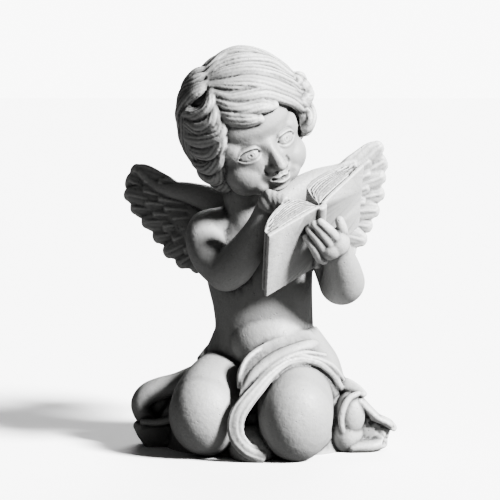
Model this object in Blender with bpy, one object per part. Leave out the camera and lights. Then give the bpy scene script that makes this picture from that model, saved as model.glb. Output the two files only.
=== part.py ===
"""Angel figurine: a kneeling cherub reading an open book, cast in one solid piece.

The figure kneels on its heels with the knees spread towards -Y, wings spread behind it and a
cloth round the hips. The points of the pose are shares of the figure's height: one unit is a
hundred-and-fiftieth of it, measured from the floor under the middle of the figure.
"""
import math

import bmesh
import bpy
import numpy as np

# Sizes
HEIGHT = 0.150            # floor to the top of the hair, metres
SHARE = HEIGHT / 150.0    # one unit of the pose
GRAIN = 0.6               # size of the fused grain, units
FACES = 9700              # triangles of the finished solid
FINE_FACES = 2300         # of which on the face and the hands
BOOK_TALL = 31.0
BOOK_COVER = 1.5
PAGE_SHEAVES = 6
FINGER = 1.95             # half thickness of a finger at the knuckle
FEATHER = 4.3             # half width of a flight feather
HEM = 1.9                 # half thickness of the rolled hem
RIBS = 8                  # strands round one lock of hair
RIB_DEPTH = 0.34          # depth of the grooves between them, of the lock's own radius
EYE = np.array([7.7, -5.8])    # middle of the left eye, across and up the face
EYE_WIDE = 3.6            # half width of an eye
LID_UP = 1.85
LID_LOW = 1.5
IRIS = 1.2
MOUTH = -17.4             # height of the mouth on the face


for old in list(bpy.data.objects):
    bpy.data.objects.remove(old)


# Shells

def unit(v):
    v = np.asarray(v, float)
    return v / np.maximum(np.linalg.norm(v, axis=-1, keepdims=True), 1e-9)


def turn(x=0.0, y=0.0, z=0.0):
    """Rotation in degrees, about x first, then y, then z."""
    cx, sx = math.cos(math.radians(x)), math.sin(math.radians(x))
    cy, sy = math.cos(math.radians(y)), math.sin(math.radians(y))
    cz, sz = math.cos(math.radians(z)), math.sin(math.radians(z))
    about_x = np.array([[1, 0, 0], [0, cx, -sx], [0, sx, cx]])
    about_y = np.array([[cy, 0, sy], [0, 1, 0], [-sy, 0, cy]])
    about_z = np.array([[cz, -sz, 0], [sz, cz, 0], [0, 0, 1]])
    return about_z @ about_y @ about_x


def spline(points, n):
    """Smooth curve through the points, n samples; each span is the cubic that leaves a point
    along the line between its two neighbours."""
    p = np.asarray(points, float)
    if p.ndim == 1:
        p = p[:, None]
    k = len(p)
    if k == 2:
        t = np.linspace(0, 1, n)[:, None]
        return p[0] * (1 - t) + p[1] * t
    ext = np.vstack([2 * p[0] - p[1], p, 2 * p[-1] - p[-2]])
    t = np.linspace(0, k - 1, n)
    i = np.clip(t.astype(int), 0, k - 2)
    f = (t - i)[:, None]
    a, b, c, d = ext[i], ext[i + 1], ext[i + 2], ext[i + 3]
    cubic = (3 * b - a - 3 * c + d) * f**3
    return 0.5 * (2 * b + (c - a) * f + (2 * a - 5 * b + 4 * c - d) * f**2 + cubic)


def sampled(value, n):
    """A size along a path: one number, or knots joined smoothly."""
    if np.ndim(value) == 0:
        return np.full(n, float(value))
    return spline(value, n)[:, 0]


class Clay:
    """Closed shells gathered for one fused solid, in units of the pose."""

    def __init__(self):
        self.points = []
        self.faces = []
        self.count = 0

    def add(self, grid):
        """Rings of points, one ring after another, closed round and capped at both ends."""
        rings, around = grid.shape[:2]
        index = np.arange(rings * around).reshape(rings, around) + self.count
        nxt = np.roll(index, -1, axis=1)
        quads = np.stack([index[:-1], nxt[:-1], nxt[1:], index[1:]], axis=-1)
        self.faces += quads.reshape(-1, 4).tolist()
        self.faces += [index[0][::-1].tolist(), index[-1].tolist()]
        self.points.append(grid.reshape(-1, 3))
        self.count += rings * around

    def ball(self, centre, radii, rot=None, n=44):
        """Ellipsoid: three half sizes, turned by rot."""
        radii = np.broadcast_to(np.asarray(radii, float), 3)
        lat = np.linspace(-0.985, 0.985, n // 2 + 1) * math.pi / 2
        lon = np.linspace(0, 2 * math.pi, n, endpoint=False)
        la, lo = np.meshgrid(lat, lon, indexing="ij")
        g = np.stack([np.cos(la) * np.cos(lo), np.cos(la) * np.sin(lo), np.sin(la)], -1) * radii
        if rot is not None:
            g = g @ rot.T
        self.add(g + np.asarray(centre, float))

    def tube(self, path, wide, high=None, up=(0, 0, 1), n=None, around=40, ends=(1.0, 1.0),
             shape=None):
        """Oval section carried along a smooth path. wide is its half size across the path and
        the up direction, high its half size along up, both given at the path's knots; ends say
        how long the two round caps are, and shape scales the section by angle and distance."""
        path = np.asarray(path, float)
        n = n or 12 * (len(path) - 1) + 3
        mid = spline(path, n)
        w = sampled(wide, n)
        h = w if high is None else sampled(high, n)
        t = unit(np.gradient(mid, axis=0))
        ups = np.broadcast_to(np.asarray(up, float), (n, 3)) if np.ndim(up) == 1 else spline(up, n)
        side = unit(np.cross(t, ups))
        nor = unit(np.cross(side, t))
        step = np.sin(np.linspace(0, math.pi / 2, 9)[1:])
        small = np.sqrt(np.maximum(1 - step**2, 0.0016))
        reach = [ends[0] * min(w[0], h[0]), ends[1] * min(w[-1], h[-1])]
        head = mid[0] - t[0] * (reach[0] * step[::-1])[:, None]
        tail = mid[-1] + t[-1] * (reach[1] * step)[:, None]
        mid = np.vstack([head, mid, tail])
        w = np.concatenate([w[0] * small[::-1], w, w[-1] * small])
        h = np.concatenate([h[0] * small[::-1], h, h[-1] * small])
        side = np.vstack([np.repeat(side[:1], 8, 0), side, np.repeat(side[-1:], 8, 0)])
        nor = np.vstack([np.repeat(nor[:1], 8, 0), nor, np.repeat(nor[-1:], 8, 0)])
        angle = np.linspace(0, 2 * math.pi, around, endpoint=False)
        k = np.ones((len(mid), around))
        if shape is not None:
            k = k * shape(angle[None, :], np.linspace(0, 1, len(mid))[:, None])
        across = (k * w[:, None] * np.cos(angle))[..., None] * side[:, None]
        along = (k * h[:, None] * np.sin(angle))[..., None] * nor[:, None]
        self.add(mid[:, None] + across + along)

    def sheet(self, rows, thick, n=40, m=24):
        """Cloth: a smooth surface through rows of points, given a thickness on both sides."""
        rows = np.asarray(rows, float)
        k, l = rows.shape[:2]
        across = spline(rows.reshape(k, -1), m).reshape(m, l, 3)
        grid = spline(across.transpose(1, 0, 2).reshape(l, -1), n).reshape(n, m, 3)
        nor = unit(np.cross(np.gradient(grid, axis=0), np.gradient(grid, axis=1)))
        self.add(np.concatenate([grid + nor * thick, (grid - nor * thick)[:, ::-1]], axis=1))

    def block(self, outline, y0, y1, n=14):
        """An outline in x and z carried from y0 to y1; it draws in towards its first point a
        little at the front end and more at the back."""
        outline = np.asarray(outline, float)
        t = np.linspace(0, 1, n)[:, None]
        keep = 1 - 0.08 * (1 - t) ** 4 - 0.45 * t**4
        g = np.empty((n, len(outline), 3))
        g[..., 0] = outline[0, 0] + (outline[:, 0] - outline[0, 0]) * keep
        g[..., 1] = y0 + (y1 - y0) * t
        g[..., 2] = outline[0, 1] + (outline[:, 1] - outline[0, 1]) * keep
        self.add(g)

    def mesh_object(self, name):
        mesh = bpy.data.meshes.new(name)
        mesh.from_pydata((np.vstack(self.points) * SHARE).tolist(), [], self.faces)
        mesh.update()
        obj = bpy.data.objects.new(name, mesh)
        bpy.context.scene.collection.objects.link(obj)
        return obj

    def take(self, obj):
        """Adds a finished object's faces and removes the object."""
        co = coords(obj)
        self.faces += [[v + self.count for v in p.vertices] for p in obj.data.polygons]
        self.points.append(co)
        self.count += len(co)
        bpy.data.objects.remove(obj)


def coords(obj):
    co = np.empty(len(obj.data.vertices) * 3, np.float32)
    obj.data.vertices.foreach_get("co", co)
    return co.reshape(-1, 3).astype(float) / SHARE


def set_coords(obj, co):
    obj.data.vertices.foreach_set("co", (co * SHARE).astype(np.float32).ravel())
    obj.data.update()


def settle(obj):
    """Turns an object's modifiers into its mesh."""
    graph = bpy.context.evaluated_depsgraph_get()
    mesh = bpy.data.meshes.new_from_object(obj.evaluated_get(graph))
    obj.modifiers.clear()
    obj.data = mesh
    return obj


def fuse(obj, grain, smooth, factor):
    """Joins the overlapping shells into one skin and softens it."""
    m = obj.modifiers.new("fuse", "REMESH")
    m.mode = "VOXEL"
    m.voxel_size = grain * SHARE
    m.adaptivity = 0
    s = obj.modifiers.new("soften", "SMOOTH")
    s.factor = factor
    s.iterations = smooth
    return settle(obj)


# Body

HEAD = np.array([-7.0, -3.0, 119.5])
HEAD_TURN = turn(y=-25) @ turn(z=21) @ turn(x=15)
HAIR_SHELL = np.array([21.3, 22.6, 23.6])
HAIR_MID = np.array([0.6, 1.8, 2.4])


def head(p):
    """Point of the head's own frame: x to its left ear, y to its back, z to its crown."""
    return HEAD + np.asarray(p, float) @ HEAD_TURN.T


def body():
    """Torso, limbs and bare head as one smooth skin."""
    c = Clay()
    c.tube([(-1, 13, 12), (-0.5, 11, 24), (0, 7, 34), (0.8, 4, 44), (0.3, 3, 54), (-0.8, 4, 64),
            (-1.8, 5, 74), (-3, 5, 82), (-5, 4, 88)],
           [21, 22, 20.3, 18.2, 18.3, 19.5, 20.3, 17, 11],
           [15, 17, 16, 14.8, 14, 13.6, 13, 10.5, 8.5], up=(0, -1, 0), around=72, ends=(0.6, 0.6))
    c.tube([(-5, 4, 84), (-6.5, 2.5, 92), (-7.5, 1, 100), (-8, 0, 108)], [9, 7.6, 7.6, 8],
           [9, 7.8, 8, 8], up=(0, -1, 0))
    c.ball((2.0, -2.5, 41), (14.5, 12, 13))
    c.ball((-9, 5, 70), (12, 11.5, 12))
    c.ball((8, 4, 71), (12, 11, 12))
    # the right arm, bent up to the chin
    c.ball((-20, 3, 80.5), (7.6, 8, 8))
    c.tube([(-13, 4, 84), (-20, 2, 80.5), (-19, -4.5, 73), (-13, -10, 67.5)],
           [6, 7.6, 7.4, 7.6], up=(1, 0, 0))
    c.tube([(-13, -10, 67.5), (-9.5, -13, 70.5), (-4.5, -17, 77.5), (-1, -20, 84), (1.5, -22.5, 91)],
           [7.6, 7.4, 6.2, 5.1, 4.1], up=(1, 0, 0))
    # the left arm, bent up to the book
    c.ball((17.5, 3, 82), (7.8, 8, 8))
    c.tube([(10, 4, 84), (17.5, 3, 82), (24.5, -0.5, 72), (29, -4, 62.5)],
           [6, 7.6, 7.4, 8.2], up=(1, 0, 0))
    c.tube([(29, -4, 62.5), (29.3, -11, 64), (28.5, -18, 69.5), (27, -25, 76.5), (26, -28, 80)],
           [8.3, 7.8, 6.6, 4.7, 4.2], up=(1, 0, 0))
    # thighs, seat and shins
    c.tube([(-8, 14, 22), (-14, 2, 21.5), (-19, -10, 17.5), (-20.5, -15, 15.5)],
           [14.5, 14.2, 13.8, 13.4], [14.5, 15.5, 16.3, 15.5], around=64)
    c.tube([(9, 12, 24), (11.5, 0, 21.5), (12.0, -14, 18), (12.0, -22, 15.6)],
           [14.5, 14, 13.8, 13.4], [14.5, 15.5, 17, 16.4], around=64)
    for s in (-1, 1):
        c.ball((s * 10.5, 15, 19), (12.5, 12.5, 13))
    c.tube([(-22, -6, 8), (-25, 8, 8), (-26, 17, 7.5), (-22, 26, 6)], [8, 8, 6.5, 4.6])
    c.tube([(16, -10, 8), (22, 6, 8), (24, 16, 7.5), (20, 26, 6)], [8, 8, 6.5, 4.6])
    # the bulk of the cloth's two trailing ends
    c.block([(14, -4), (14, 20), (28, 21.5), (33, 22.5), (36.0, 19.5), (38.5, 16.6), (42.0, 13.2),
             (46.8, 11.0), (48.8, 8.8), (48.4, 5.6), (45.2, 1.2), (42.0, -4)], -4.6, 18)
    c.block([(-18, -4), (-18, 9.6), (-36.2, 9.6), (-40, 10.0), (-44.4, 10.1), (-48.2, 8.8),
             (-48.8, 7.2), (-47.0, 3.4), (-45.0, 0.6), (-43, -4)], 4.5, 22)
    # skull, cheeks, nose, eyeballs, lips and chin
    parts = [((0.6, 1.5, 2.8), (18.0, 20.8, 20.6)), ((0, -4.2, -7.0), (16.6, 15.8, 15.6)),
             ((0, -12.6, -19.4), (6.2, 6.0, 4.4)), ((0, -12.2, -16), (8.6, 7.6, 6)),
             ((0, -10.6, 4), (14, 10, 11)), ((0.2, -17.5, -17.7), (4.4, 3.0, 3.1)),
             ((0.5, -21.5, -12.6), (2.3, 2.3, 2.1))]
    for s in (-1, 1):
        parts.append(((s * 7.8, -9.4, -13.2), (8.3, 7.9, 8.2)))
        parts.append(((s * 7.4, -7.6, -16.4), (7.6, 7.4, 6.0)))
        parts.append(((s * 10.0, -8.0, -2.5), (6.8, 8.2, 8.2)))
        parts.append(((0.4 + s * 2.4, -19.2, -13.3), (1.6, 2.1, 1.5)))
        parts.append(((s * 4.6, -11.4, -17.6), (6.6, 6.6, 5.2)))
        parts.append(((s * 7.6, -12.6, -5.8), (4.9, 4.7, 4.5)))
    for centre, radii in parts:
        c.ball(head(centre), radii, HEAD_TURN)
    c.tube(head([(0, -15.4, 0.5), (0.1, -17.4, -3.6), (0.3, -19.2, -7.8), (0.5, -21.0, -11.5)]),
           [2.8, 2.0, 1.9, 2.1], [2.4, 2.0, 2.2, 2.4], up=HEAD_TURN @ np.array([0, -1.0, 0]))
    skin = fuse(c.mesh_object("skin"), min(GRAIN, 0.7), 14, 0.6)
    co = coords(skin)
    local = (co - HEAD) @ HEAD_TURN
    near = (np.linalg.norm(local - (0, -8, -6), axis=1) < 24) & (local[:, 1] < -8)
    co[near] = head(carved_face(local[near]))
    set_coords(skin, co)
    return skin


def carved_face(p):
    """Moves points of the face: each push is a smooth bell of given half sizes."""
    pushes = [((0, -19, -20.6), (5, 4, 1.4), 0.6), ((0, -18, -1.0), (3.4, 5, 2.6), 0.5)]
    for s in (-1, 1):
        pushes.append(((s * 7.6, -15.5, -0.2), (5.4, 6, 2.2), 0.6))
        pushes.append(((s * 3.6, -18, -5.4), (1.9, 6, 3.2), 1.9))
        pushes.append(((s * 8.4, -17, -10.2), (4.4, 6, 1.8), 0.3))
        pushes.append(((s * 8.2, -17, -13.0), (4.6, 6, 4.0), -0.4))
        pushes.append(((s * 5.2, -18.5, -17.8), (1.5, 4, 1.8), 0.8))
    for centre, radii, depth in pushes:
        bell = np.exp(-(((p - centre) / radii) ** 2).sum(1))
        p = p + bell[:, None] * np.array([0, depth, 0])
    return p


def stroke(plane, path, width, rise, n=60):
    """Rise of each point of the plane: a bell of that half width round the smooth path."""
    line = spline(path, n)
    shift = np.zeros(len(plane))
    reach = 3 * width
    near = ((plane > line.min(0) - reach) & (plane < line.max(0) + reach)).all(1)
    gap = ((plane[near][:, None] - line[None]) ** 2).sum(-1).min(1)
    shift[near] = rise * np.exp(-gap / width**2)
    return shift


def score(co, path, width, depth, push, n=60):
    """Cuts a line in space: points near the smooth path move along push, as a bell across it."""
    line = spline(path, n)
    reach = 2.5 * width
    near = ((co > line.min(0) - reach) & (co < line.max(0) + reach)).all(1)
    gap = ((co[near][:, None] - line[None]) ** 2).sum(-1).min(1)
    co[near] += np.exp(-gap / width**2)[:, None] * depth * np.asarray(push, float)


def face_strokes():
    """Lids, iris, pupil, brows, nostrils, lips and folds as (path, half width, rise)."""
    marks = []
    for s in (-1, 1):
        swing = np.linspace(math.pi, 0, 13)
        across = EYE_WIDE * np.cos(swing)
        upper = EYE + np.stack([across, LID_UP * np.sin(swing) ** 0.8 - 0.05 * across], 1)
        lower = EYE + np.stack([across, -LID_LOW * np.sin(swing) - 0.05 * across], 1)
        ring = np.linspace(0, 2 * math.pi, 17)
        iris = EYE + (-0.1, 0.1) + IRIS * np.stack([np.cos(ring), np.sin(ring)], 1)
        inner = EYE + (-EYE_WIDE - 0.2, 0.1)
        outer = EYE + (EYE_WIDE + 0.2, -0.3)
        marks += [((s, 1) * p, w, r) for p, w, r in (
            (upper, 0.40, -0.55), (upper + (0, 0.8), 0.50, 0.40), (upper + (0, 1.75), 0.55, -0.20),
            (lower, 0.34, -0.24), (lower - (0, 0.7), 0.55, 0.18), (lower - (0, 1.8), 0.7, -0.10),
            (iris, 0.26, -0.13), (np.stack([EYE, EYE + (0.1, 0.25)]) + (-0.1, 0.1), 0.50, -0.38),
            (np.stack([inner, inner + (-0.4, -0.3)]), 0.45, -0.10),
            (np.stack([outer, outer + (0.4, 0.1)]), 0.45, -0.05),
            (EYE + np.array([(-4.4, 2.6), (-2.0, 4.6), (1.0, 5.2), (4.4, 3.8)]), 1.3, 0.22),
            (np.array([(1.4, -14.6), (2.1, -14.4)]) + (0.4 * s, 0), 0.5, -0.75),
            (np.array([(4.5, -11.4), (5.0, -13.0), (4.5, -14.2)]) + (0.4 * s, 0), 0.6, -0.5),
            (np.array([(4.8, -13.4), (6.2, -15.4), (6.4, -17.4)]), 1.2, -0.14))]
    half = np.array([(-3.3, 0.45), (-2.1, -0.1), (-0.9, -0.15), (0, 0.1)])
    gap = np.vstack([half, half[2::-1] * (-1, 1)]) + (0.4, MOUTH)
    marks += [(gap, 0.48, -1.25), (gap[[0, 0]] - (0.3, 0.0), 0.6, -0.5),
              (gap[[-1, -1]] + (0.3, 0.0), 0.6, -0.5),
              (gap + np.outer([0.2, 0.7, 1.2, 1.1, 1.2, 0.7, 0.2], (0, 1)), 0.62, 0.42),
              (gap[1:-1] - np.outer([0.7, 1.2, 1.6, 1.2, 0.7], (0, 1)), 0.85, 0.75),
              (np.array([(-2.2, -20.4), (0, -20.7), (2.2, -20.4)]), 1.0, -0.35),
              (np.array([(0.3, -15.0), (0.2, -15.8)]), 0.55, -0.30)]
    return marks


def cut_face(obj):
    """Splits the face's facets in four, then cuts its strokes."""
    bm = bmesh.new()
    bm.from_mesh(obj.data)
    edges = []
    for e in bm.edges:
        mid = ((np.array(e.verts[0].co) + np.array(e.verts[1].co)) / 2 / SHARE - HEAD) @ HEAD_TURN
        if mid[1] < -10 and abs(mid[0]) < 13.5 and -21 < mid[2] < 1.5:
            edges.append(e)
    bmesh.ops.subdivide_edges(bm, edges=edges, cuts=1, use_grid_fill=True, smooth=0.0)
    bm.to_mesh(obj.data)
    bm.free()
    co = coords(obj)
    local = (co - HEAD) @ HEAD_TURN
    near = (local[:, 1] < -9) & (np.abs(local[:, 0]) < 15) & (np.abs(local[:, 2] + 9) < 15)
    plane = local[near][:, [0, 2]]
    rise = sum(stroke(plane, *mark) for mark in face_strokes())
    local[near, 1] -= rise
    co[near] = head(local[near])
    set_coords(obj, co)


# Hair

def on_hair(x, y, z, lift=0.0):
    """The point of the hair's egg-shaped shell in the direction of x, y, z, and its normal."""
    q = (np.array([x, y, z], float) - HAIR_MID) / HAIR_SHELL
    q /= np.linalg.norm(q)
    n = unit(q / HAIR_SHELL)
    return q * HAIR_SHELL + HAIR_MID + n * lift, n


def lock(c, knots, width, height, tip=0.3, phase=0.0):
    """One combed lock: an oval section along a path on the hair's shell. It swells from its
    root and ends in a rounded point; its surface is ribbed by strands that wander round it."""
    points = []
    ups = []
    for knot in knots:
        p, nor = on_hair(*knot)
        points.append(head(p - nor * 0.35 * height))
        ups.append(HEAD_TURN @ nor)
    n = 12 * (len(knots) - 1) + 1
    t = np.linspace(0, 1, n)
    taper = np.sqrt(1 - (1 - tip**2) * (np.clip(t - 0.6, 0, 1) / 0.4) ** 2)
    size = (0.55 + 0.45 * np.sin(np.minimum(3 * t, 1) * math.pi / 2)) * taper

    def ribbed(angle, t):
        wander = 0.45 * np.sin(5 * t + phase) + 0.2 * np.sin(11 * t + 2 * phase)
        groove = 1 - np.abs(np.sin(RIBS / 2 * (angle + wander) + phase))
        depth = RIB_DEPTH * (0.75 + 0.45 * np.sin(2.6 * angle + 6 * t + 2 * phase))
        return 1 - depth * groove**2.0 + 0.08 * np.sin(3 * angle + 4 * t + phase)

    c.tube(spline(points, n), width * size, height * size, up=spline(ups, n), n=n, around=88,
           ends=(1, 1.6), shape=ribbed)


def crown_lock(c, lon, lats, lifts, sway, width, height, phase):
    """A lock that falls from the crown: its longitude sways as its latitude drops."""
    knots = []
    for j, (lat, lift) in enumerate(zip(lats, lifts)):
        la = math.radians(lat)
        lo = math.radians(lon) + sway * math.sin(1.6 * j + phase)
        flat = math.cos(la)
        d = np.array([math.sin(lo) * flat, -math.cos(lo) * flat, math.sin(la)])
        knots.append((*(d * HAIR_SHELL + HAIR_MID), lift))
    lock(c, knots, width, height, phase=phase)


def hair(c):
    """Cap of hair, the fringe swept over from the parting, the curls and the waves."""
    c.ball(head((0.6, 3.6, 3.4)), (20.4, 20.8, 22.2), HEAD_TURN, n=40)
    c.ball(head((0.4, 7, -6)), (18.6, 16.8, 16.0), HEAD_TURN, n=40)
    c.ball(head((19.5, -5.5, 2)), (4.2, 6.5, 8.5), HEAD_TURN)
    c.ball(head((17.5, -1, -6)), (4.6, 7.5, 8.0), HEAD_TURN)
    swept = [
        ([(-11.8, -13.4, 13.4), (-9.1, -17, 10.2, .3), (-5.4, -19.3, 8.2, .9), (-1.4, -20.5, 6.4, 1.6)],
         2.7, 2.3, 0.62),
        ([(-10.6, -12, 16.6), (-8.6, -15.2, 14.1), (-4.6, -18.5, 11.8, .8), (1.7, -19.8, 9.9, 1.5),
          (5.4, -19.4, 8.4, 1.9)], 2.8, 2.5, 0.6),
        ([(-9.7, -9.1, 19.6), (-6.4, -14.7, 16.8, .4), (-0.7, -17.4, 15.2, .9),
          (5.2, -17.8, 13.2, 1.1), (10.8, -17.1, 9.2, 1.1), (15.6, -14, 5.4, 1),
          (20, -10.6, 0.5, 2), (22, -12, -3, 4), (20.9, -14.6, -5.8, 4.6),
          (18.2, -13.7, -6.6, 3.2)], 2.7, 2.3, 0.35),
        ([(-8.8, -6.7, 21.6), (-4, -12.5, 20.2, .6), (2.6, -15.1, 18.3, 1.2),
          (8.6, -15.9, 14.6, 1.4), (14, -14.7, 9.2, 1.4), (19.2, -11, 4.2, 1.8),
          (22.6, -11.6, 2.4, 4.4), (25.6, -11.2, 3.4, 6.2), (25.4, -12, 6.4, 6.4)],
         2.8, 2.4, 0.35),
        ([(-7.5, -4, 23.4), (-2.4, -8, 23.8, .6), (4.5, -11.7, 21.4, 1.4),
          (10.9, -12.8, 16.9, 1.7), (17.1, -10.5, 10.6, 1.7), (20.3, -10.2, 6.6, 2.6),
          (23.6, -9.2, 5.6, 4.6), (25, -11, 7.4, 6), (24.4, -9.6, 9.4, 5.4)], 2.8, 2.5, 0.35),
        ([(-6.1, -1, 24.6), (-0.7, -2.6, 26, .5), (6.6, -5.7, 24.2, 1.5), (14.2, -6.3, 19, 2),
          (19.3, -7, 12.8, 2.2), (21.4, -8.8, 9.6, 3.2), (23.4, -10, 9.8, 5),
          (22.6, -9, 12, 4.6)], 2.9, 2.5, 0.35),
        ([(-4.4, 1.9, 25.3), (3.4, 2.7, 26.4, 1), (9.8, -0.5, 25.2, 2), (15.5, -3.4, 21.4, 2.6),
          (20, -5, 16, 2.8), (22.3, -6.4, 11, 3.2), (24, -5, 8, 4.6)], 3.0, 2.5, 0.35),
        ([(-2.3, 7.2, 24.6), (5, 5.5, 26.1, 1.2), (11.2, 3.7, 24.7, 2.2), (17, 1.6, 19.5, 2.6),
          (21, 0.7, 13, 2.4), (23, 0, 6, 3), (23.6, -2, 2, 4)], 3.1, 2.4, 0.35),
        ([(-4, 11, 23), (4, 12, 24, .8), (12, 11, 21, 1.4), (18.5, 9, 14, 1.6), (21.5, 7, 6, 1.6),
          (21.6, 5, -2, 2.2), (21, 2, -7, 3)], 3.2, 2.3, 0.35),
    ]
    left_curls = [
        ([(18.6, -12.2, 2.4, 1.2), (22.4, -10.4, -1.6, 3.4), (22.5, -13, -4, 5),
          (20.6, -14.2, -6.5, 4.6), (18.3, -13.4, -7.6, 3), (18, -12, -6.2, 1.8)], 1.9, 2.0, 0.4),
        ([(22, -8, 4, 2.4), (24.2, -7.6, -0.5, 4), (23.8, -9.4, -4.6, 5), (21, -11.6, -8.4, 4),
          (18.6, -11.8, -9.6, 2.4)], 1.9, 2.2, 0.4),
        ([(22, -4.5, 4, 2.6), (24.4, -3, -1, 4.2), (23.6, -4, -6, 4.4), (21, -7, -10, 3.6),
          (18.4, -9.4, -11, 2)], 2.0, 2.3, 0.4),
        ([(22.6, -1, 2, 2.4), (24, 1, -4, 3.2), (22, -1, -10, 3), (18.8, -4.4, -13.4, 2)],
         2.6, 2.3, 0.35),
        ([(17.4, -12.1, 3.6, .4), (19.6, -10.4, -0.8, 1.4), (19.4, -12, -3.6, 2.4),
          (17.8, -12, -5.6, 1.4)], 1.7, 1.8, 0.4),
        ([(21.5, -11, 7, 2), (25, -9, 7, 5), (26, -8.6, 10.4, 6), (23.6, -8.4, 12.6, 5)],
         1.7, 1.8, 0.4),
        ([(22.4, -6, 10, 2.4), (25.4, -5, 8, 4.8), (26.4, -6, 4, 6), (25, -8, 1.4, 5.6)],
         1.8, 2.0, 0.4),
    ]
    right_waves = [
        ([(-5.1, 2.3, 25.1), (-7.4, 5.6, 24.2, .4), (-10.2, 7.6, 22.6, .8), (-13.4, 8.4, 20, .9),
          (-15.4, 11, 16, .8)], 2.9, 2.0, 0.3),
        ([(-7, -1.5, 24.2), (-10.5, 1.2, 22.8, .5), (-13.2, 4.8, 20, .9), (-16.4, 7.6, 16.6, 1.2),
          (-18.6, 10, 11, .8)], 2.9, 2.1, 0.3),
        ([(-8.9, -4.9, 22.3), (-11.9, -3.4, 20.7, .5), (-14.8, -0.2, 18.6, .9),
          (-17.4, 4.7, 14.9, 1.2), (-19.3, 7.3, 11.6, 1.1), (-19.4, 9.6, 6, .6)], 2.8, 2.2, 0.3),
        ([(-10.1, -8.1, 19.9), (-12, -9.8, 16.8, .5), (-14.4, -9.4, 14.4, .8),
          (-16.9, -5.8, 13, 1), (-18.4, -0.6, 13.4, 1), (-18.9, 4, 11, .6)], 2.6, 2.2, 0.35),
        ([(-11.3, -11.2, 16.5), (-13, -12.8, 12.4, .4), (-15.6, -11.3, 9.8, .8),
          (-18.3, -7, 8.6, 1), (-19.6, -1.2, 9.6, 1), (-19.6, 4.9, 8.6, .6)], 2.7, 2.2, 0.35),
        ([(-12.4, -13.4, 11.9), (-13.9, -14, 7.5, .4), (-16.4, -11.6, 5, .8), (-19.1, -6.9, 4.1, 1),
          (-20.4, 0, 5, 1), (-20.2, 6.1, 5, .6)], 2.7, 2.2, 0.35),
        ([(-13.6, -14.3, 6.2), (-15.6, -12.6, 1.6, .5), (-18.2, -8.4, -0.9, 1), (-20.1, -2.8, -0.3, 1.2),
          (-20.5, 4.2, 1.2, .8)], 2.7, 2.3, 0.35),
        ([(-15, -12.8, 0.4), (-16.8, -9.5, -4.7, 1), (-18.3, -3.8, -7.3, 1.8),
          (-20.1, 1.9, -6.2, 1.8), (-20.8, 5.3, -3, 1.4)], 2.7, 2.3, 0.35),
        ([(-15.8, -9.8, -5.6, .4), (-16.4, -5.4, -11.2, 1.8), (-18.2, -0.6, -13.4, 3),
          (-20, 3.2, -11.6, 3), (-20.5, 5.6, -8.4, 2)], 2.7, 2.3, 0.35),
        ([(-15, -7, -10, .6), (-14.6, -2.6, -16, 2.4), (-14.4, 2.4, -18.6, 3.6),
          (-16, 6.4, -17, 3.4), (-17.4, 9, -13.6, 2.4)], 2.6, 2.2, 0.35),
        ([(-13.5, -5, -14, 1), (-11.6, -0.5, -19, 2.8), (-9, 4, -21.4, 3.6), (-9, 8, -20.6, 3)],
         2.4, 2.0, 0.35),
    ]
    for i, (knots, width, height, tip) in enumerate(swept + left_curls + right_waves):
        lock(c, knots, 1.12 * width, height, tip, phase=1.7 * i)
    for i in range(9):
        crown_lock(c, 98 + 20.5 * i, (68, 44, 19, -6, -28, -42), (0, .2, .4, .6, .8, 1.4), 0.2,
                   4.4, 2.4, 2.1 * i)
    for i in range(8):
        crown_lock(c, 102 + 22 * i, (26, 2, -18, -35, -45, -40), (.5, .8, 1.0, 1.4, 2.2, 3.4), 0.24,
                   3.5, 2.3, i + 0.5)


# Book

SPINE_FOOT = np.array([20.0, -13.0, 69.5])
SPINE_HEAD = np.array([20.9, -33.0, 93.4])
LEFT_CORNER = np.array([2.5, -45.0, 83.3])
RIGHT_CORNER = np.array([37.5, -16.0, 107.4])


def page_curve(k, arch, width, cover):
    """Edge of one leaf of the block, k of the way up: it rises steeply from the spine and
    falls in a flat arch towards the fore edge."""
    x = np.linspace(0, 1, 18)
    swell = 0.55 * np.sin(np.pi * x**0.62) + 0.45 * np.sqrt(1 - x) * np.minimum(6 * x, 1)
    wave = 0.25 * np.sin(7 * x + 9 * k) * np.sin(np.pi * x)
    return np.stack([0.6 + x * width, cover + k * (arch * swell + 2.7 * x) + wave * k], 1)


def book(c):
    """Open book, seen from its covers: two boards, a rounded spine and arched page blocks."""
    s = unit(SPINE_HEAD - SPINE_FOOT)
    boards = []
    for corner, width, arch in ((LEFT_CORNER, 24.5, 9.8), (RIGHT_CORNER, 26.0, 10.2)):
        u = unit(corner - SPINE_HEAD)
        u = unit(u - s * (u @ s))
        n = unit(np.cross(s, u))
        boards.append((u, n if n[1] > 0 else -n, width, arch))

    def slab(outline, u, n, low, top, rings=4):
        z = np.linspace(low, top, rings)[:, None, None]
        c.add(SPINE_FOOT + outline[None, :, :1] * u + outline[None, :, 1:] * n + z * s)

    for u, n, width, arch in boards:
        board = np.array([(0.2, 0), (width, 0), (width, BOOK_COVER), (0.2, BOOK_COVER)])
        slab(board, u, n, 0, BOOK_TALL)
        for k in range(PAGE_SHEAVES):
            short = 0.5 * ((3 * k) % 4) / 3
            low = page_curve((k + 0.1) / PAGE_SHEAVES, arch, width - 1.2 - short, 1.2)
            top = page_curve((k + 0.72) / PAGE_SHEAVES, arch, width - 1.2 - short, 1.2)
            slab(np.vstack([low, top[::-1]]), u, n, 0.6 + short, BOOK_TALL - 0.4 - short)
        low = page_curve(0, arch, width - 1.9, 1.2)
        top = page_curve(0.94, arch, width - 2.1, 1.2)
        slab(np.vstack([low, top[::-1]]), u, n, 1.5, BOOK_TALL - 1.5)
    c.tube([SPINE_FOOT + s * 0.3, SPINE_FOOT + s * (BOOK_TALL - 0.3)], 2.0, 1.6,
           up=np.cross(boards[0][0], s), ends=(0.2, 0.2))


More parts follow.
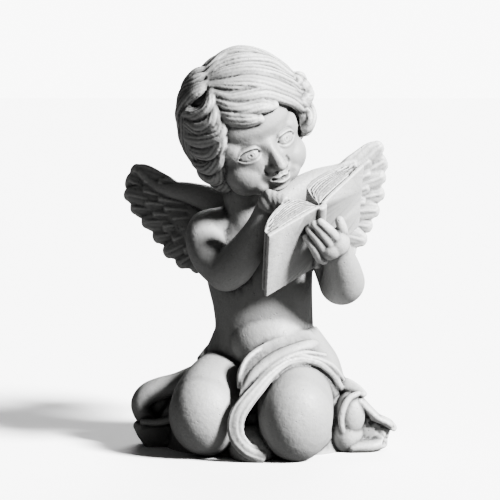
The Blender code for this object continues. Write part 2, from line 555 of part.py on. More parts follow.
def cut_pages(co):
    """Scores the edges of the leaves into the head and the foot of both page blocks."""
    s = unit(SPINE_HEAD - SPINE_FOOT)
    for corner, width, arch in ((LEFT_CORNER, 24.5, 9.8), (RIGHT_CORNER, 26.0, 10.2)):
        u = unit(corner - SPINE_HEAD)
        u = unit(u - s * (u @ s))
        n = unit(np.cross(s, u))
        n = n if n[1] > 0 else -n
        for k in range(1, 2 * PAGE_SHEAVES - 1):
            edge = page_curve(k / (2 * PAGE_SHEAVES - 1), arch, width - 1.6, 1.2)
            a, b = (k * 5) % 4, 17 - (k * 3) % 5
            line = SPINE_FOOT + edge[a:b, :1] * u + edge[a:b, 1:] * n
            score(co, line + s * (BOOK_TALL - 0.3), 0.40, 1.5, -s, n=90)
            score(co, line + s * 0.5, 0.36, 1.0, s, n=90)


def hands(c):
    """The left hand holds the spine from outside, the right one props the chin."""
    front = (0, -1, 0)
    c.ball((26.0, -29.0, 79.8), (5.0, 4.2, 5.2))
    c.ball((24.0, -29.5, 78.0), (4.6, 4.0, 4.4))
    knuckles = np.array([(26.0, -31.5, 81.5), (24.4, -31.3, 78.6), (22.4, -30.4, 76.3),
                         (20.2, -29.2, 74.6)])
    tips = np.array([(20.4, -35.0, 87.4), (18.3, -34.3, 86.6), (16.6, -33.2, 84.6),
                     (15.6, -31.8, 81.8)])
    for knuckle, tip in zip(knuckles, tips):
        mid = (knuckle + tip) / 2 + (0, -1.3, 0.4)
        c.tube([knuckle + (1.4, 1, -1), knuckle, mid, tip],
               [FINGER, FINGER, 0.92 * FINGER, 0.8 * FINGER], up=front, around=12)
    c.tube([(28.5, -27.5, 81), (28.2, -29.8, 84.5), (27.2, -30.3, 87.6)],
           [1.12 * FINGER, FINGER, 0.88 * FINGER], up=front, around=12)
    c.ball((3.0, -24.6, 93.6), (4.8, 4.0, 4.4))
    for i in range(4):
        a = np.array([1.6 + 1.7 * i, -24.0 - 0.8 * i, 96.2 - 0.5 * i])
        c.tube([a, a + (0.8, -2.6, 0.4), a + (1.8, -3.6, -1.8), a + (1.6, -2.4, -3.6)],
               [0.95 * FINGER, 0.95 * FINGER, 0.9 * FINGER, 0.8 * FINGER], around=12)


# Wings

def feather(c, root, tip, width, thick, facing, bend=0.0, n=20, tilt=0.0, phase=0.0):
    """A blade from root to tip with a rounded end, combed lengthwise with shallow barbs and
    with a raised shaft on both faces; tilt leans it over its neighbour."""
    root, tip, facing = (np.asarray(v, float) for v in (root, tip, facing))
    axis = tip - root
    side = unit(np.cross(axis, facing))
    facing = unit(facing + side * tilt)
    mid = (root + tip) / 2 + side * bend * np.linalg.norm(axis)
    t = np.linspace(0, 1, n)
    grow = 0.55 + 0.45 * np.sin(np.clip(t / 0.5, 0, 1) * math.pi / 2)
    fall = np.sqrt(1 - 0.66 * (np.clip(t - 0.62, 0, 1) / 0.38) ** 2.4)
    path = spline([root, mid, tip], n)

    def barbs(angle, t):
        wander = 0.25 * np.sin(6 * t + phase)
        return 1 - 0.15 * (1 - np.abs(np.sin(4 * (angle + wander)))) ** 2

    c.tube(path, width * grow * fall, thick * sampled([1, 0.95, 0.8], n), up=facing, n=n,
           around=56, ends=(1, 1.5), shape=barbs)
    for face in (-1, 1):
        c.tube(path + facing * thick * 0.66 * face, 0.6, 0.55, up=facing, n=n, around=8)


def wing(c, side, tips, roots, edge):
    """Flight feathers fanned from the wrist, rows of coverts over them on both faces, a
    thick leading edge and the web that joins the wing to the back."""
    facing = unit(np.array([side * 0.25, -1.0, 0.15]))
    roots = np.array(roots, float)
    tips = np.array(tips, float)
    n = len(roots)
    for i in range(n):
        feather(c, roots[i], tips[i] + (0, 0.5 * (i % 2), 0), FEATHER * (1.45 if i == 1 else 1.1),
                1.6, facing, bend=0.03 * side, tilt=0.14 * side, phase=i)
    rows = ((-0.05, 0.72, 0.8, 0.95), (-0.25, 0.44, 1.3, 0.85))
    for row, (start, end, off, wide) in enumerate(rows):
        for i in range(n):
            j = min(i + 1, n - 1) if row % 2 == 0 else i
            tip = 0.5 * (tips[i] + tips[j])
            root = 0.5 * (roots[i] + roots[j])
            for face in (-1, 1):
                lift = facing * face * off
                feather(c, root + (tip - root) * start + lift * 0.7,
                        root + (tip - root) * end + lift, FEATHER * wide, 1.1, facing,
                        bend=0.02 * side, n=14, tilt=0.14 * side, phase=2.3 * i)
    c.tube(edge, [6.0, 5.2, 4.2, 3.3, 2.6, 1.8], [5.5, 4.2, 3.2, 2.4, 2.0, 1.6], up=facing)
    c.tube([(side * 5.0, 13, 82), roots[6] + (0, -1, 0), roots[4], roots[2]], [9, 8, 6.5, 4],
           [4.5, 3.4, 2.8, 2.2], up=facing)
    mid = roots * 0.7 + tips * 0.3
    c.tube([(side * 6.0, 12, 76), mid[7], mid[5], mid[3], mid[1]], [8, 7.5, 6.5, 6, 5],
           [5, 3.2, 2.6, 2.2, 1.8], up=facing)


def wings(c):
    wing(c, -1,
         [(-47.4, 26, 101.4), (-49.4, 26, 97.4), (-50.0, 25.5, 92.4), (-47.6, 25, 87.4),
          (-43.4, 24, 82.2), (-39.2, 23, 76.6), (-35.2, 22, 71.0), (-30.4, 21, 67.0),
          (-25.0, 20, 65.4)],
         [(-30, 22, 93), (-29, 22, 91.5), (-27.5, 21.5, 89.5), (-25.5, 21, 87), (-23.5, 20.5, 84.5),
          (-21, 20, 82), (-18.5, 19, 80), (-15.5, 18, 78.5), (-12.5, 17, 77)],
         [(-6, 12, 84), (-16, 16, 90.0), (-26, 20.0, 93.0), (-34.0, 22, 94.3), (-40.0, 24, 96.0),
          (-45.6, 25.5, 100.6)])
    wing(c, 1,
         [(44.0, 29, 110.0), (45.4, 29, 104.4), (45.0, 28.5, 98.8), (44.6, 28, 92.4),
          (42.6, 27, 86.2), (40.0, 26, 80.4), (37.8, 24, 75.4), (33.6, 22.5, 71.0),
          (28.0, 21, 68.6)],
         [(27, 23, 98.5), (26.5, 23, 96.5), (25.5, 22.5, 94), (24, 22, 91), (22, 21, 88),
          (19.5, 20, 85), (17, 19, 83), (14, 18, 81.5), (11, 17, 80)],
         [(2, 12, 85), (10, 16, 92.5), (20, 20.5, 98.0), (29, 23.5, 100.8), (36.5, 26.5, 103.8),
          (42.4, 28.6, 109.2)])


# Cloth

def drape_folds(angle, t):
    """Folds of the cloth behind: waves round the hips, deeper towards the floor and the back."""
    back = np.clip(-np.sin(angle) + 0.35, 0, 1)
    low = np.clip(1.25 - t * 1.35, 0, 1)
    waves = 0.045 * np.sin(11 * angle + 2.4 * t) + 0.03 * np.sin(19 * angle - 3 * t + 1)
    return 1 + back * low * waves


def creased(angle, t):
    """Ribs along a band of cloth, which wander round it."""
    return 1 + 0.09 * np.cos(7 * angle + 5 * np.sin(4 * t)) + 0.04 * np.cos(12 * angle - 3 * t)


def pleats(angle, t):
    """Long soft folds down a mound of cloth, deepest at the floor."""
    folds = 0.055 * np.cos(9 * angle + 0.9 * np.sin(5 * t)) + 0.03 * np.cos(15 * angle + 3 * t)
    return 1 + (0.3 + 0.7 * t) * folds


def cloth(c):
    """The cloth laid over the left hip and lap, and its trailing ends on the floor."""
    front = (0, -1, 0)
    c.ball((16.0, 8, 26), (12.0, 15, 14.5))
    c.ball((16.5, 2, 29), (10.0, 12, 11.0))
    c.ball((24.5, 6, 15), (8.5, 13, 13))
    c.sheet([
        [(14, 21, 41), (18.6, 12, 43.2), (18.0, 4.5, 44.0), (15.2, -5.0, 43.6), (8.3, -11.5, 42.9),
         (1.0, -14.2, 40.8), (-3.3, -15.8, 38.4), (-6.9, -18, 34.5)],
        [(16, 22, 36), (22.0, 12, 38.2), (21.8, 0.5, 39.6), (18.4, -8.4, 40.0), (12.5, -14.5, 39.0),
         (4.6, -18.4, 35.8), (-2.6, -22, 30.8), (-7.6, -24.8, 24.5)],
        [(19, 22, 29), (26.0, 11, 32.0), (25.6, -4.0, 34.2), (21.3, -11.6, 36.0), (13.7, -16.5, 36.4),
         (5.6, -19.8, 33.6), (-1.6, -23.8, 28.2), (-7.7, -26.5, 22.5)],
        [(22, 20, 20), (28.6, 9, 23), (28.0, -7.5, 27.5), (23.4, -14.5, 33.2), (14.3, -19.0, 36.4),
         (5.8, -22.5, 33.8), (-1.9, -26.5, 27.6), (-8.0, -28.0, 21.5)]], 1.7)
    # the lining between the hem and the knee, then the hem
    c.tube([(25.0, 8, 18), (25.4, 1, 20), (24.4, -4.5, 23.5), (21.6, -9.0, 28.0), (17.0, -13.0, 31.6),
            (11.0, -16.0, 32.4)], [3.6, 3.6, 3.6, 3.6, 3.4, 3.0], up=front)
    c.tube([(27.5, 8, 21), (28.6, 0, 22.5), (28.0, -6.4, 25), (25.6, -11, 29.8), (20.8, -15.6, 34.4),
            (14.3, -18.0, 36.2), (8.5, -20.6, 35.2), (3.2, -23.8, 31.8), (-1.4, -26.6, 27.2),
            (-5.8, -28.4, 22.4), (-8.8, -29, 17.8), (-9.6, -28.8, 13), (-8.4, -28.2, 8.6),
            (-5, -27, 4.6), (0, -25.5, 2.0)],
           HEM * np.array([.7, .8, .75, .7, .7, .7, .8, 1.0, 1.25, 1.45, 1.55, 1.55, 1.5, 1.4, 1.3]),
           HEM * np.array([.8, .8, .75, .7, .7, .7, .75, .8, .8, .8, .8, .8, .8, .8, .8]),
           up=front, n=90, around=48, shape=creased)
    # the broad fold above it, the small leaf beside it and the turned upper edge
    c.tube([(21.5, -0.5, 38.6), (18, -9.2, 39.8), (12.5, -15, 38.8), (4.6, -18.9, 35.6),
            (-2.6, -22.4, 30.7), (-7.4, -25.2, 24.6)], [1.6, 2.4, 2.9, 3.3, 2.7, 1.0],
           [1.2, 2.4, 3.1, 3.3, 2.9, 1.2], up=(0, -0.8, 0.6))
    c.tube([(22.5, -11.6, 36.6), (14, -16.6, 37.6), (5.6, -20.4, 34.4), (-1.8, -24.4, 28.4),
            (-7.6, -27.2, 22.2)], [0.8, 1.2, 1.4, 1.2, 0.7], [1.4, 2.3, 2.7, 2.4, 1.2],
           up=(0, -0.8, 0.6))
    c.tube([(1.5, -14.6, 40.2), (-2.4, -16.4, 38.6), (-5.9, -18.4, 35.6), (-7.9, -20.4, 31.4),
            (-8.3, -22.3, 27.0)], [0.9, 1.2, 1.3, 1.2, 0.8], [1.4, 2.2, 2.4, 2.2, 1.2],
           up=(0, -1, 0.3))
    c.tube([(17.2, 4, 44.0), (14.2, -6.3, 43.6), (7.5, -12.0, 42.6), (1.5, -14.8, 40.6)],
           [1.3, 1.8, 1.9, 1.4], up=(0, -0.8, 0.6))
    c.ball((-3.5, -15, 4), (9, 12.5, 8))
    # the end that trails at the left, broken off rough
    c.tube([(24, 4, 23.5), (30, -1.5, 24.4), (34.0, -5, 23.4), (37.0, -7.5, 21.9)],
           [4.0, 3.2, 2.4, 1.5], [3.0, 2.4, 1.8, 1.2], up=(0, -0.5, 0.8))
    c.ball((32.4, -4.5, 14.6), (5.6, 6.0, 8.2))
    c.ball((31.0, -2, 6.5), (6.4, 7.5, 7.5))
    c.tube([(30.5, -7.6, 6.0), (28.9, -9.4, 11.5), (29.5, -10, 16.5), (31.7, -9.2, 20.6),
            (35.2, -8.0, 22.2)], [1.1, 1.2, 1.2, 1.2, 1.0], up=front)
    c.tube([(35.6, -5.6, 19.4), (38.4, -5.0, 16.4), (42.0, -4.5, 13.0), (46.4, -3.8, 10.6),
            (48.0, -2, 9.0)], [1.8, 1.7, 1.6, 1.6, 1.4], [3.0, 3.0, 3.0, 3.0, 2.6], up=front)
    c.tube([(33, -4.5, 2.2), (40, -4.0, 2.2), (44.4, -2.5, 3.2)], [2.6, 2.4, 2.2], [4, 3.6, 3],
           up=front)
    # the end at the right: a low block with a rolled fold arched over it
    c.tube([(-24, 8, 26.5), (-31.5, 8, 23.2), (-37.6, 8.5, 21.5), (-42.4, 9, 19.3), (-45.0, 9.5, 16.0),
            (-44.6, 10, 12.2), (-42.5, 10, 9.0)], [4.0, 4.1, 4.1, 4.1, 3.7, 3.4, 3.0],
           [6, 6, 6, 5.5, 5, 4.5, 4], up=front)
    c.ball((-35.5, 17, 14), (10, 6, 8.5))
    c.tube([(-31, 4, 20), (-31.6, 4.0, 14), (-34, 4, 10.6), (-39.0, 4.5, 9.4), (-44, 5.5, 9.4)],
           [1.4, 1.5, 1.5, 1.4, 1.2], [2.4, 2.4, 2.4, 2.2, 2.0], up=front)
    # the pleats that spread over the shins on both sides
    c.tube([(18, 9, 30), (22.5, 11, 19), (27, 13, 8), (29, 13, 0)], [8, 10.5, 14, 15.5],
           [9, 11, 14, 15], up=front, around=96, n=40, ends=(0.6, 0.1), shape=pleats)
    c.tube([(-17, 13, 29), (-22, 14, 18), (-27, 16, 8), (-28.5, 16, 0)], [7, 9.5, 13, 14.5],
           [8, 10, 12.5, 14], up=front, around=96, n=40, ends=(0.6, 0.1), shape=pleats)
    # round the hips and down to the floor behind, with a turned waist edge
    c.tube([(-1, 10, 0), (-1, 10, 7), (-0.5, 10.5, 16), (0, 10.5, 26), (0.5, 9, 36),
            (0.8, 7.5, 41.5)], [35, 33, 29.5, 25.5, 20.8, 18.8], [27, 26, 23.5, 21, 17.5, 15.0],
           up=front, around=96, n=40, ends=(0.1, 0.1), shape=drape_folds)
    c.tube([(19.6, 4, 43.2), (17.0, 13, 43.0), (10, 21, 42.2), (0, 24, 41.2), (-10, 21.5, 39.4),
            (-18, 14, 37.0), (-22.6, 5, 33.0)], 1.5, 1.4, around=12, n=60)


def tear(co):
    """Dents the broken right-hand end of the cloth: small bells in from the outside."""
    rng = np.random.default_rng(4)
    for i in range(200):
        x = rng.uniform(39, 50)
        centre = np.array([x, rng.uniform(-6, 12), rng.uniform(1, 21 - 0.9 * (x - 36))])
        push = unit(np.array([30.0, 4, 8]) - centre)
        size = rng.uniform(0.4, 0.95)
        score(co, [centre, centre + rng.uniform(-2.5, 2.5, 3)], size, 0.75 * size, push, n=6)


def feet(c):
    """Soles and toes that show under the cloth behind."""
    for s in (-1, 1):
        c.tube([(s * 15, 26, 7), (s * 14, 35, 6.2), (s * 13.4, 38, 5.2)], [6.2, 6.0, 5.4],
               [5.4, 5.0, 4.2])
        for i in range(5):
            r = 2.3 - 0.25 * i
            c.ball((s * (9.6 + 2.6 * i), 41.2 - 0.55 * i, 2.9), (r, r * 1.2, r))


# The one solid

def largest(obj):
    """Keeps the outer skin and drops any closed pocket inside it."""
    count = len(obj.data.vertices)
    ends = np.empty(len(obj.data.edges) * 2, np.int64)
    obj.data.edges.foreach_get("vertices", ends)
    a, b = ends.reshape(-1, 2).T
    mark = np.arange(count)
    while True:
        low = np.minimum(mark[a], mark[b])
        old = mark.copy()
        np.minimum.at(mark, a, low)
        np.minimum.at(mark, b, low)
        mark = mark[mark]
        if (mark == old).all():
            break
    names, sizes = np.unique(mark, return_counts=True)
    keep = mark == names[sizes.argmax()]
    index = np.cumsum(keep) - 1
    co = coords(obj)[keep] * SHARE
    faces = [[int(index[v]) for v in p.vertices] for p in obj.data.polygons if keep[p.vertices[0]]]
    mesh = bpy.data.meshes.new(obj.name)
    mesh.from_pydata(co.tolist(), [], faces)
    mesh.update()
    obj.data = mesh
    return obj


def fine_parts(co):
    """The points of the face and of the two hands."""
    local = (co - HEAD) @ HEAD_TURN
    fine = np.linalg.norm((local - (0, -19, -8)) / (14, 8, 16), axis=1) < 1
    for centre, radius in (((20, -32, 82.5), 10), ((6, -27, 96), 7)):
        fine |= np.linalg.norm(co - centre, axis=1) < radius
    return fine


def thin_out(obj, chosen, faces):
    """Merges facets among the chosen points until the whole object has this many."""
    group = obj.vertex_groups.new(name="chosen")
    group.add(np.nonzero(chosen)[0].tolist(), 1.0, "REPLACE")
    m = obj.modifiers.new("thin", "DECIMATE")
    m.ratio = faces / sum(len(p.vertices) - 2 for p in obj.data.polygons)
    m.vertex_group = "chosen"
    m.vertex_group_factor = 1.0
    m.use_collapse_triangulate = True
    settle(obj)
    obj.vertex_groups.clear()


clay = Clay()
clay.take(body())
hair(clay)
book(clay)
hands(clay)
wings(clay)
cloth(clay)
feet(clay)
figure = largest(fuse(clay.mesh_object("cherub_figurine"), GRAIN, 2, 0.5))
cut_face(figure)
co = coords(figure)
cut_pages(co)
tear(co)
set_coords(figure, co)

# fewer facets: a share of them goes to the face and the hands
clear_parts = fine_parts(coords(figure))
facets = sum(len(p.vertices) - 2 for p in figure.data.polygons)
inside = sum(len(p.vertices) - 2 for p in figure.data.polygons if clear_parts[p.vertices[0]])
thin_out(figure, clear_parts, facets - inside + FINE_FACES)
thin_out(figure, ~fine_parts(coords(figure)), FACES)

# flat underside on the floor
bm = bmesh.new()
bm.from_mesh(figure.data)
everything = bm.verts[:] + bm.edges[:] + bm.faces[:]
bmesh.ops.bisect_plane(bm, geom=everything, dist=1e-6, plane_co=(0, 0, 0), plane_no=(0, 0, 1),
                       clear_inner=True)
rim = [e for e in bm.edges if e.is_boundary]
bmesh.ops.triangle_fill(bm, edges=rim, use_beauty=True, normal=(0, 0, -1))
bm.to_mesh(figure.data)
bm.free()

co = coords(figure)
co[:, :2] -= (co[:, :2].min(0) + co[:, :2].max(0)) / 2
set_coords(figure, co)

plaster = bpy.data.materials.new("cast_stone_grey")
plaster.use_nodes = True
shader = plaster.node_tree.nodes["Principled BSDF"]
shader.inputs["Base Color"].default_value = (0.34, 0.34, 0.335, 1)
shader.inputs["Roughness"].default_value = 0.75
figure.data.materials.clear()
figure.data.materials.append(plaster)
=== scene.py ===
"""Looks of the angel figurine: a kneeling cherub reading an open book, cast in one piece.

The casting is modelled the way a sculptor builds it up: body first, then face, hair, book,
hands, wings and cloth, all as closed shells that are fused into one skin. Points of the pose are
in units of a hundred-and-fiftieth of the figure's height, from the floor under its middle.
"""
import math

import bmesh
import bpy
import numpy as np
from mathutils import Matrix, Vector
from mathutils.kdtree import KDTree


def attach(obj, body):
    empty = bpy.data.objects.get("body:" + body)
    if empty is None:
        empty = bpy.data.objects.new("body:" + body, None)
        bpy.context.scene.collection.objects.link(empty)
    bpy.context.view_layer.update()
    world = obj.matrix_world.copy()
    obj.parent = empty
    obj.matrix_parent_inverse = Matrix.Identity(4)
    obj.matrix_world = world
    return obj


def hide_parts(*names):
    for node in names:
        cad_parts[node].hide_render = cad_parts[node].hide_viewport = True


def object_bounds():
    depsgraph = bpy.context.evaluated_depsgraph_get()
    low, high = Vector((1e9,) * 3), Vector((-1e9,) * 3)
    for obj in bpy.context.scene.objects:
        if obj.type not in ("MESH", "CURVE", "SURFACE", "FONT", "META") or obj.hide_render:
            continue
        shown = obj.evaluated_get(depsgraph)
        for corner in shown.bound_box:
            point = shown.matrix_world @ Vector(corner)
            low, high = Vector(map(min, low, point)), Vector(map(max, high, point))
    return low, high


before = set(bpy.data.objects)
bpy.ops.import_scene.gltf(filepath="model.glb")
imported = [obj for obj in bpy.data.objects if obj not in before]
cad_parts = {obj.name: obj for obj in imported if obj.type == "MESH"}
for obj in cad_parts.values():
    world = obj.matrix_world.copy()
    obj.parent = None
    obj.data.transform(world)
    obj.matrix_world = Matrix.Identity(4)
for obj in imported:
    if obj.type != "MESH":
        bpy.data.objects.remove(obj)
cad_low, cad_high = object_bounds()


# Body: torso, limbs and the bare head, modelled as one smooth mass. The shells of every part are
# gathered in units of the pose and fused on a grid of voxels, which gives the soft, slightly
# melted edges of a figure cast from a worn mould.
SHARE = 0.001             # one unit of the pose, metres
GRAIN = 0.36    # voxel of the finished skin, units
CAP = 8                   # rings in the round end of a tube


def unit(v):
    """Each vector divided by its own length."""
    v = np.asarray(v, float)
    return v / np.maximum(np.linalg.norm(v, axis=-1, keepdims=True), 1e-9)


def turn(x=0.0, y=0.0, z=0.0):
    """Rotation in degrees, about x first, then y, then z."""
    cx, sx = math.cos(math.radians(x)), math.sin(math.radians(x))
    cy, sy = math.cos(math.radians(y)), math.sin(math.radians(y))
    cz, sz = math.cos(math.radians(z)), math.sin(math.radians(z))
    about_x = np.array([[1, 0, 0], [0, cx, -sx], [0, sx, cx]])
    about_y = np.array([[cy, 0, sy], [0, 1, 0], [-sy, 0, cy]])
    about_z = np.array([[cz, -sz, 0], [sz, cz, 0], [0, 0, 1]])
    return about_z @ about_y @ about_x


def spline(points, n):
    """Smooth curve through the points, n samples; each span is the cubic that leaves a point
    along the line between its two neighbours."""
    p = np.asarray(points, float)
    if p.ndim == 1:
        p = p[:, None]
    k = len(p)
    if k == 2:
        t = np.linspace(0, 1, n)[:, None]
        return p[0] * (1 - t) + p[1] * t
    ext = np.vstack([2 * p[0] - p[1], p, 2 * p[-1] - p[-2]])
    t = np.linspace(0, k - 1, n)
    i = np.clip(t.astype(int), 0, k - 2)
    f = (t - i)[:, None]
    a, b, c, d = ext[i], ext[i + 1], ext[i + 2], ext[i + 3]
    cubic = (3 * b - a - 3 * c + d) * f**3
    return 0.5 * (2 * b + (c - a) * f + (2 * a - 5 * b + 4 * c - d) * f**2 + cubic)


def sampled(value, n):
    """A size along a path: one number, or knots joined smoothly."""
    if np.ndim(value) == 0:
        return np.full(n, float(value))
    return spline(value, n)[:, 0]


class Clay:
    """Closed shells gathered for one fused solid, in units of the pose."""

    def __init__(self):
        self.points = []
        self.faces = []
        self.count = 0

    def add(self, grid):
        """Rings of points, one ring after another, closed round and capped at both ends."""
        rings, around = grid.shape[:2]
        index = np.arange(rings * around).reshape(rings, around) + self.count
        nxt = np.roll(index, -1, axis=1)
        quads = np.stack([index[:-1], nxt[:-1], nxt[1:], index[1:]], axis=-1)
        self.faces += quads.reshape(-1, 4).tolist()
        self.faces += [index[0][::-1].tolist(), index[-1].tolist()]
        self.points.append(grid.reshape(-1, 3))
        self.count += rings * around

    def ball(self, centre, radii, rot=None, n=44):
        """Ellipsoid: three half sizes, turned by rot."""
        radii = np.broadcast_to(np.asarray(radii, float), 3)
        lat = np.linspace(-0.985, 0.985, n // 2 + 1) * math.pi / 2
        lon = np.linspace(0, 2 * math.pi, n, endpoint=False)
        la, lo = np.meshgrid(lat, lon, indexing="ij")
        g = np.stack([np.cos(la) * np.cos(lo), np.cos(la) * np.sin(lo), np.sin(la)], -1) * radii
        if rot is not None:
            g = g @ rot.T
        self.add(g + np.asarray(centre, float))

    def tube(self, path, wide, high=None, up=(0, 0, 1), n=None, around=40, ends=(1.0, 1.0),
             shape=None):
        """Oval section carried along a smooth path. wide is its half size across the path and
        the up direction, high its half size along up, both given at the path's knots; ends say
        how long the two round caps are, and shape scales the section by angle and distance."""
        path = np.asarray(path, float)
        n = n or 12 * (len(path) - 1) + 3
        mid = spline(path, n)
        w = sampled(wide, n)
        h = w if high is None else sampled(high, n)
        t = unit(np.gradient(mid, axis=0))
        ups = np.broadcast_to(np.asarray(up, float), (n, 3)) if np.ndim(up) == 1 else spline(up, n)
        side = unit(np.cross(t, ups))
        nor = unit(np.cross(side, t))
        step = np.sin(np.linspace(0, math.pi / 2, CAP + 1)[1:])
        small = np.sqrt(np.maximum(1 - step**2, 0.0016))
        reach = [ends[0] * min(w[0], h[0]), ends[1] * min(w[-1], h[-1])]
        head = mid[0] - t[0] * (reach[0] * step[::-1])[:, None]
        tail = mid[-1] + t[-1] * (reach[1] * step)[:, None]
        mid = np.vstack([head, mid, tail])
        w = np.concatenate([w[0] * small[::-1], w, w[-1] * small])
        h = np.concatenate([h[0] * small[::-1], h, h[-1] * small])
        side = np.vstack([np.repeat(side[:1], CAP, 0), side, np.repeat(side[-1:], CAP, 0)])
        nor = np.vstack([np.repeat(nor[:1], CAP, 0), nor, np.repeat(nor[-1:], CAP, 0)])
        angle = np.linspace(0, 2 * math.pi, around, endpoint=False)
        k = np.ones((len(mid), around))
        if shape is not None:
            k = k * shape(angle[None, :], np.linspace(0, 1, len(mid))[:, None])
        across = (k * w[:, None] * np.cos(angle))[..., None] * side[:, None]
        along = (k * h[:, None] * np.sin(angle))[..., None] * nor[:, None]
        self.add(mid[:, None] + across + along)

    def sheet(self, rows, thick, n=40, m=24):
        """Cloth: a smooth surface through rows of points, given a thickness on both sides."""
        rows = np.asarray(rows, float)
        k, l = rows.shape[:2]
        across = spline(rows.reshape(k, -1), m).reshape(m, l, 3)
        grid = spline(across.transpose(1, 0, 2).reshape(l, -1), n).reshape(n, m, 3)
        nor = unit(np.cross(np.gradient(grid, axis=0), np.gradient(grid, axis=1)))
        self.add(np.concatenate([grid + nor * thick, (grid - nor * thick)[:, ::-1]], axis=1))

    def block(self, outline, y0, y1, n=14):
        """An outline in x and z carried from y0 to y1; it draws in towards its first point a
        little at the front end and more at the back."""
        outline = np.asarray(outline, float)
        t = np.linspace(0, 1, n)[:, None]
        keep = 1 - 0.08 * (1 - t) ** 4 - 0.45 * t**4
        g = np.empty((n, len(outline), 3))
        g[..., 0] = outline[0, 0] + (outline[:, 0] - outline[0, 0]) * keep
        g[..., 1] = y0 + (y1 - y0) * t
        g[..., 2] = outline[0, 1] + (outline[:, 1] - outline[0, 1]) * keep
        self.add(g)

    def mesh_object(self, name):
        """All the shells so far as one object, in metres."""
        mesh = bpy.data.meshes.new(name)
        mesh.from_pydata((np.vstack(self.points) * SHARE).tolist(), [], self.faces)
        mesh.update()
        obj = bpy.data.objects.new(name, mesh)
        bpy.context.scene.collection.objects.link(obj)
        return obj

    def take(self, obj):
        """Adds a finished object's faces and removes the object."""
        co = coords(obj)
        self.faces += [[v + self.count for v in p.vertices] for p in obj.data.polygons]
        self.points.append(co)
        self.count += len(co)
        bpy.data.objects.remove(obj)


def coords(obj):
    """The object's points, in units of the pose."""
    co = np.empty(len(obj.data.vertices) * 3, np.float32)
    obj.data.vertices.foreach_get("co", co)
    return co.reshape(-1, 3).astype(float) / SHARE


def set_coords(obj, co):
    """Moves the object's points to places given in units of the pose."""
    obj.data.vertices.foreach_set("co", (co * SHARE).astype(np.float32).ravel())
    obj.data.update()


def settle(obj):
    """Turns an object's modifiers into its mesh."""
    graph = bpy.context.evaluated_depsgraph_get()
    mesh = bpy.data.meshes.new_from_object(obj.evaluated_get(graph))
    obj.modifiers.clear()
    obj.data = mesh
    return obj


def fuse(obj, grain, smooth, factor):
    """Joins the overlapping shells into one skin and softens it."""
    m = obj.modifiers.new("fuse", "REMESH")
    m.mode = "VOXEL"
    m.voxel_size = grain * SHARE
    m.adaptivity = 0
    s = obj.modifiers.new("soften", "SMOOTH")
    s.factor = factor
    s.iterations = smooth
    return settle(obj)


HEAD = np.array([-7.0, -3.0, 119.5])
HEAD_TURN = turn(y=-25) @ turn(z=21) @ turn(x=15)    # bowed, turned to its left, tilted right


def head(p):
    """Point of the head's own frame: x to its left ear, y to its back, z to its crown."""
    return HEAD + np.asarray(p, float) @ HEAD_TURN.T


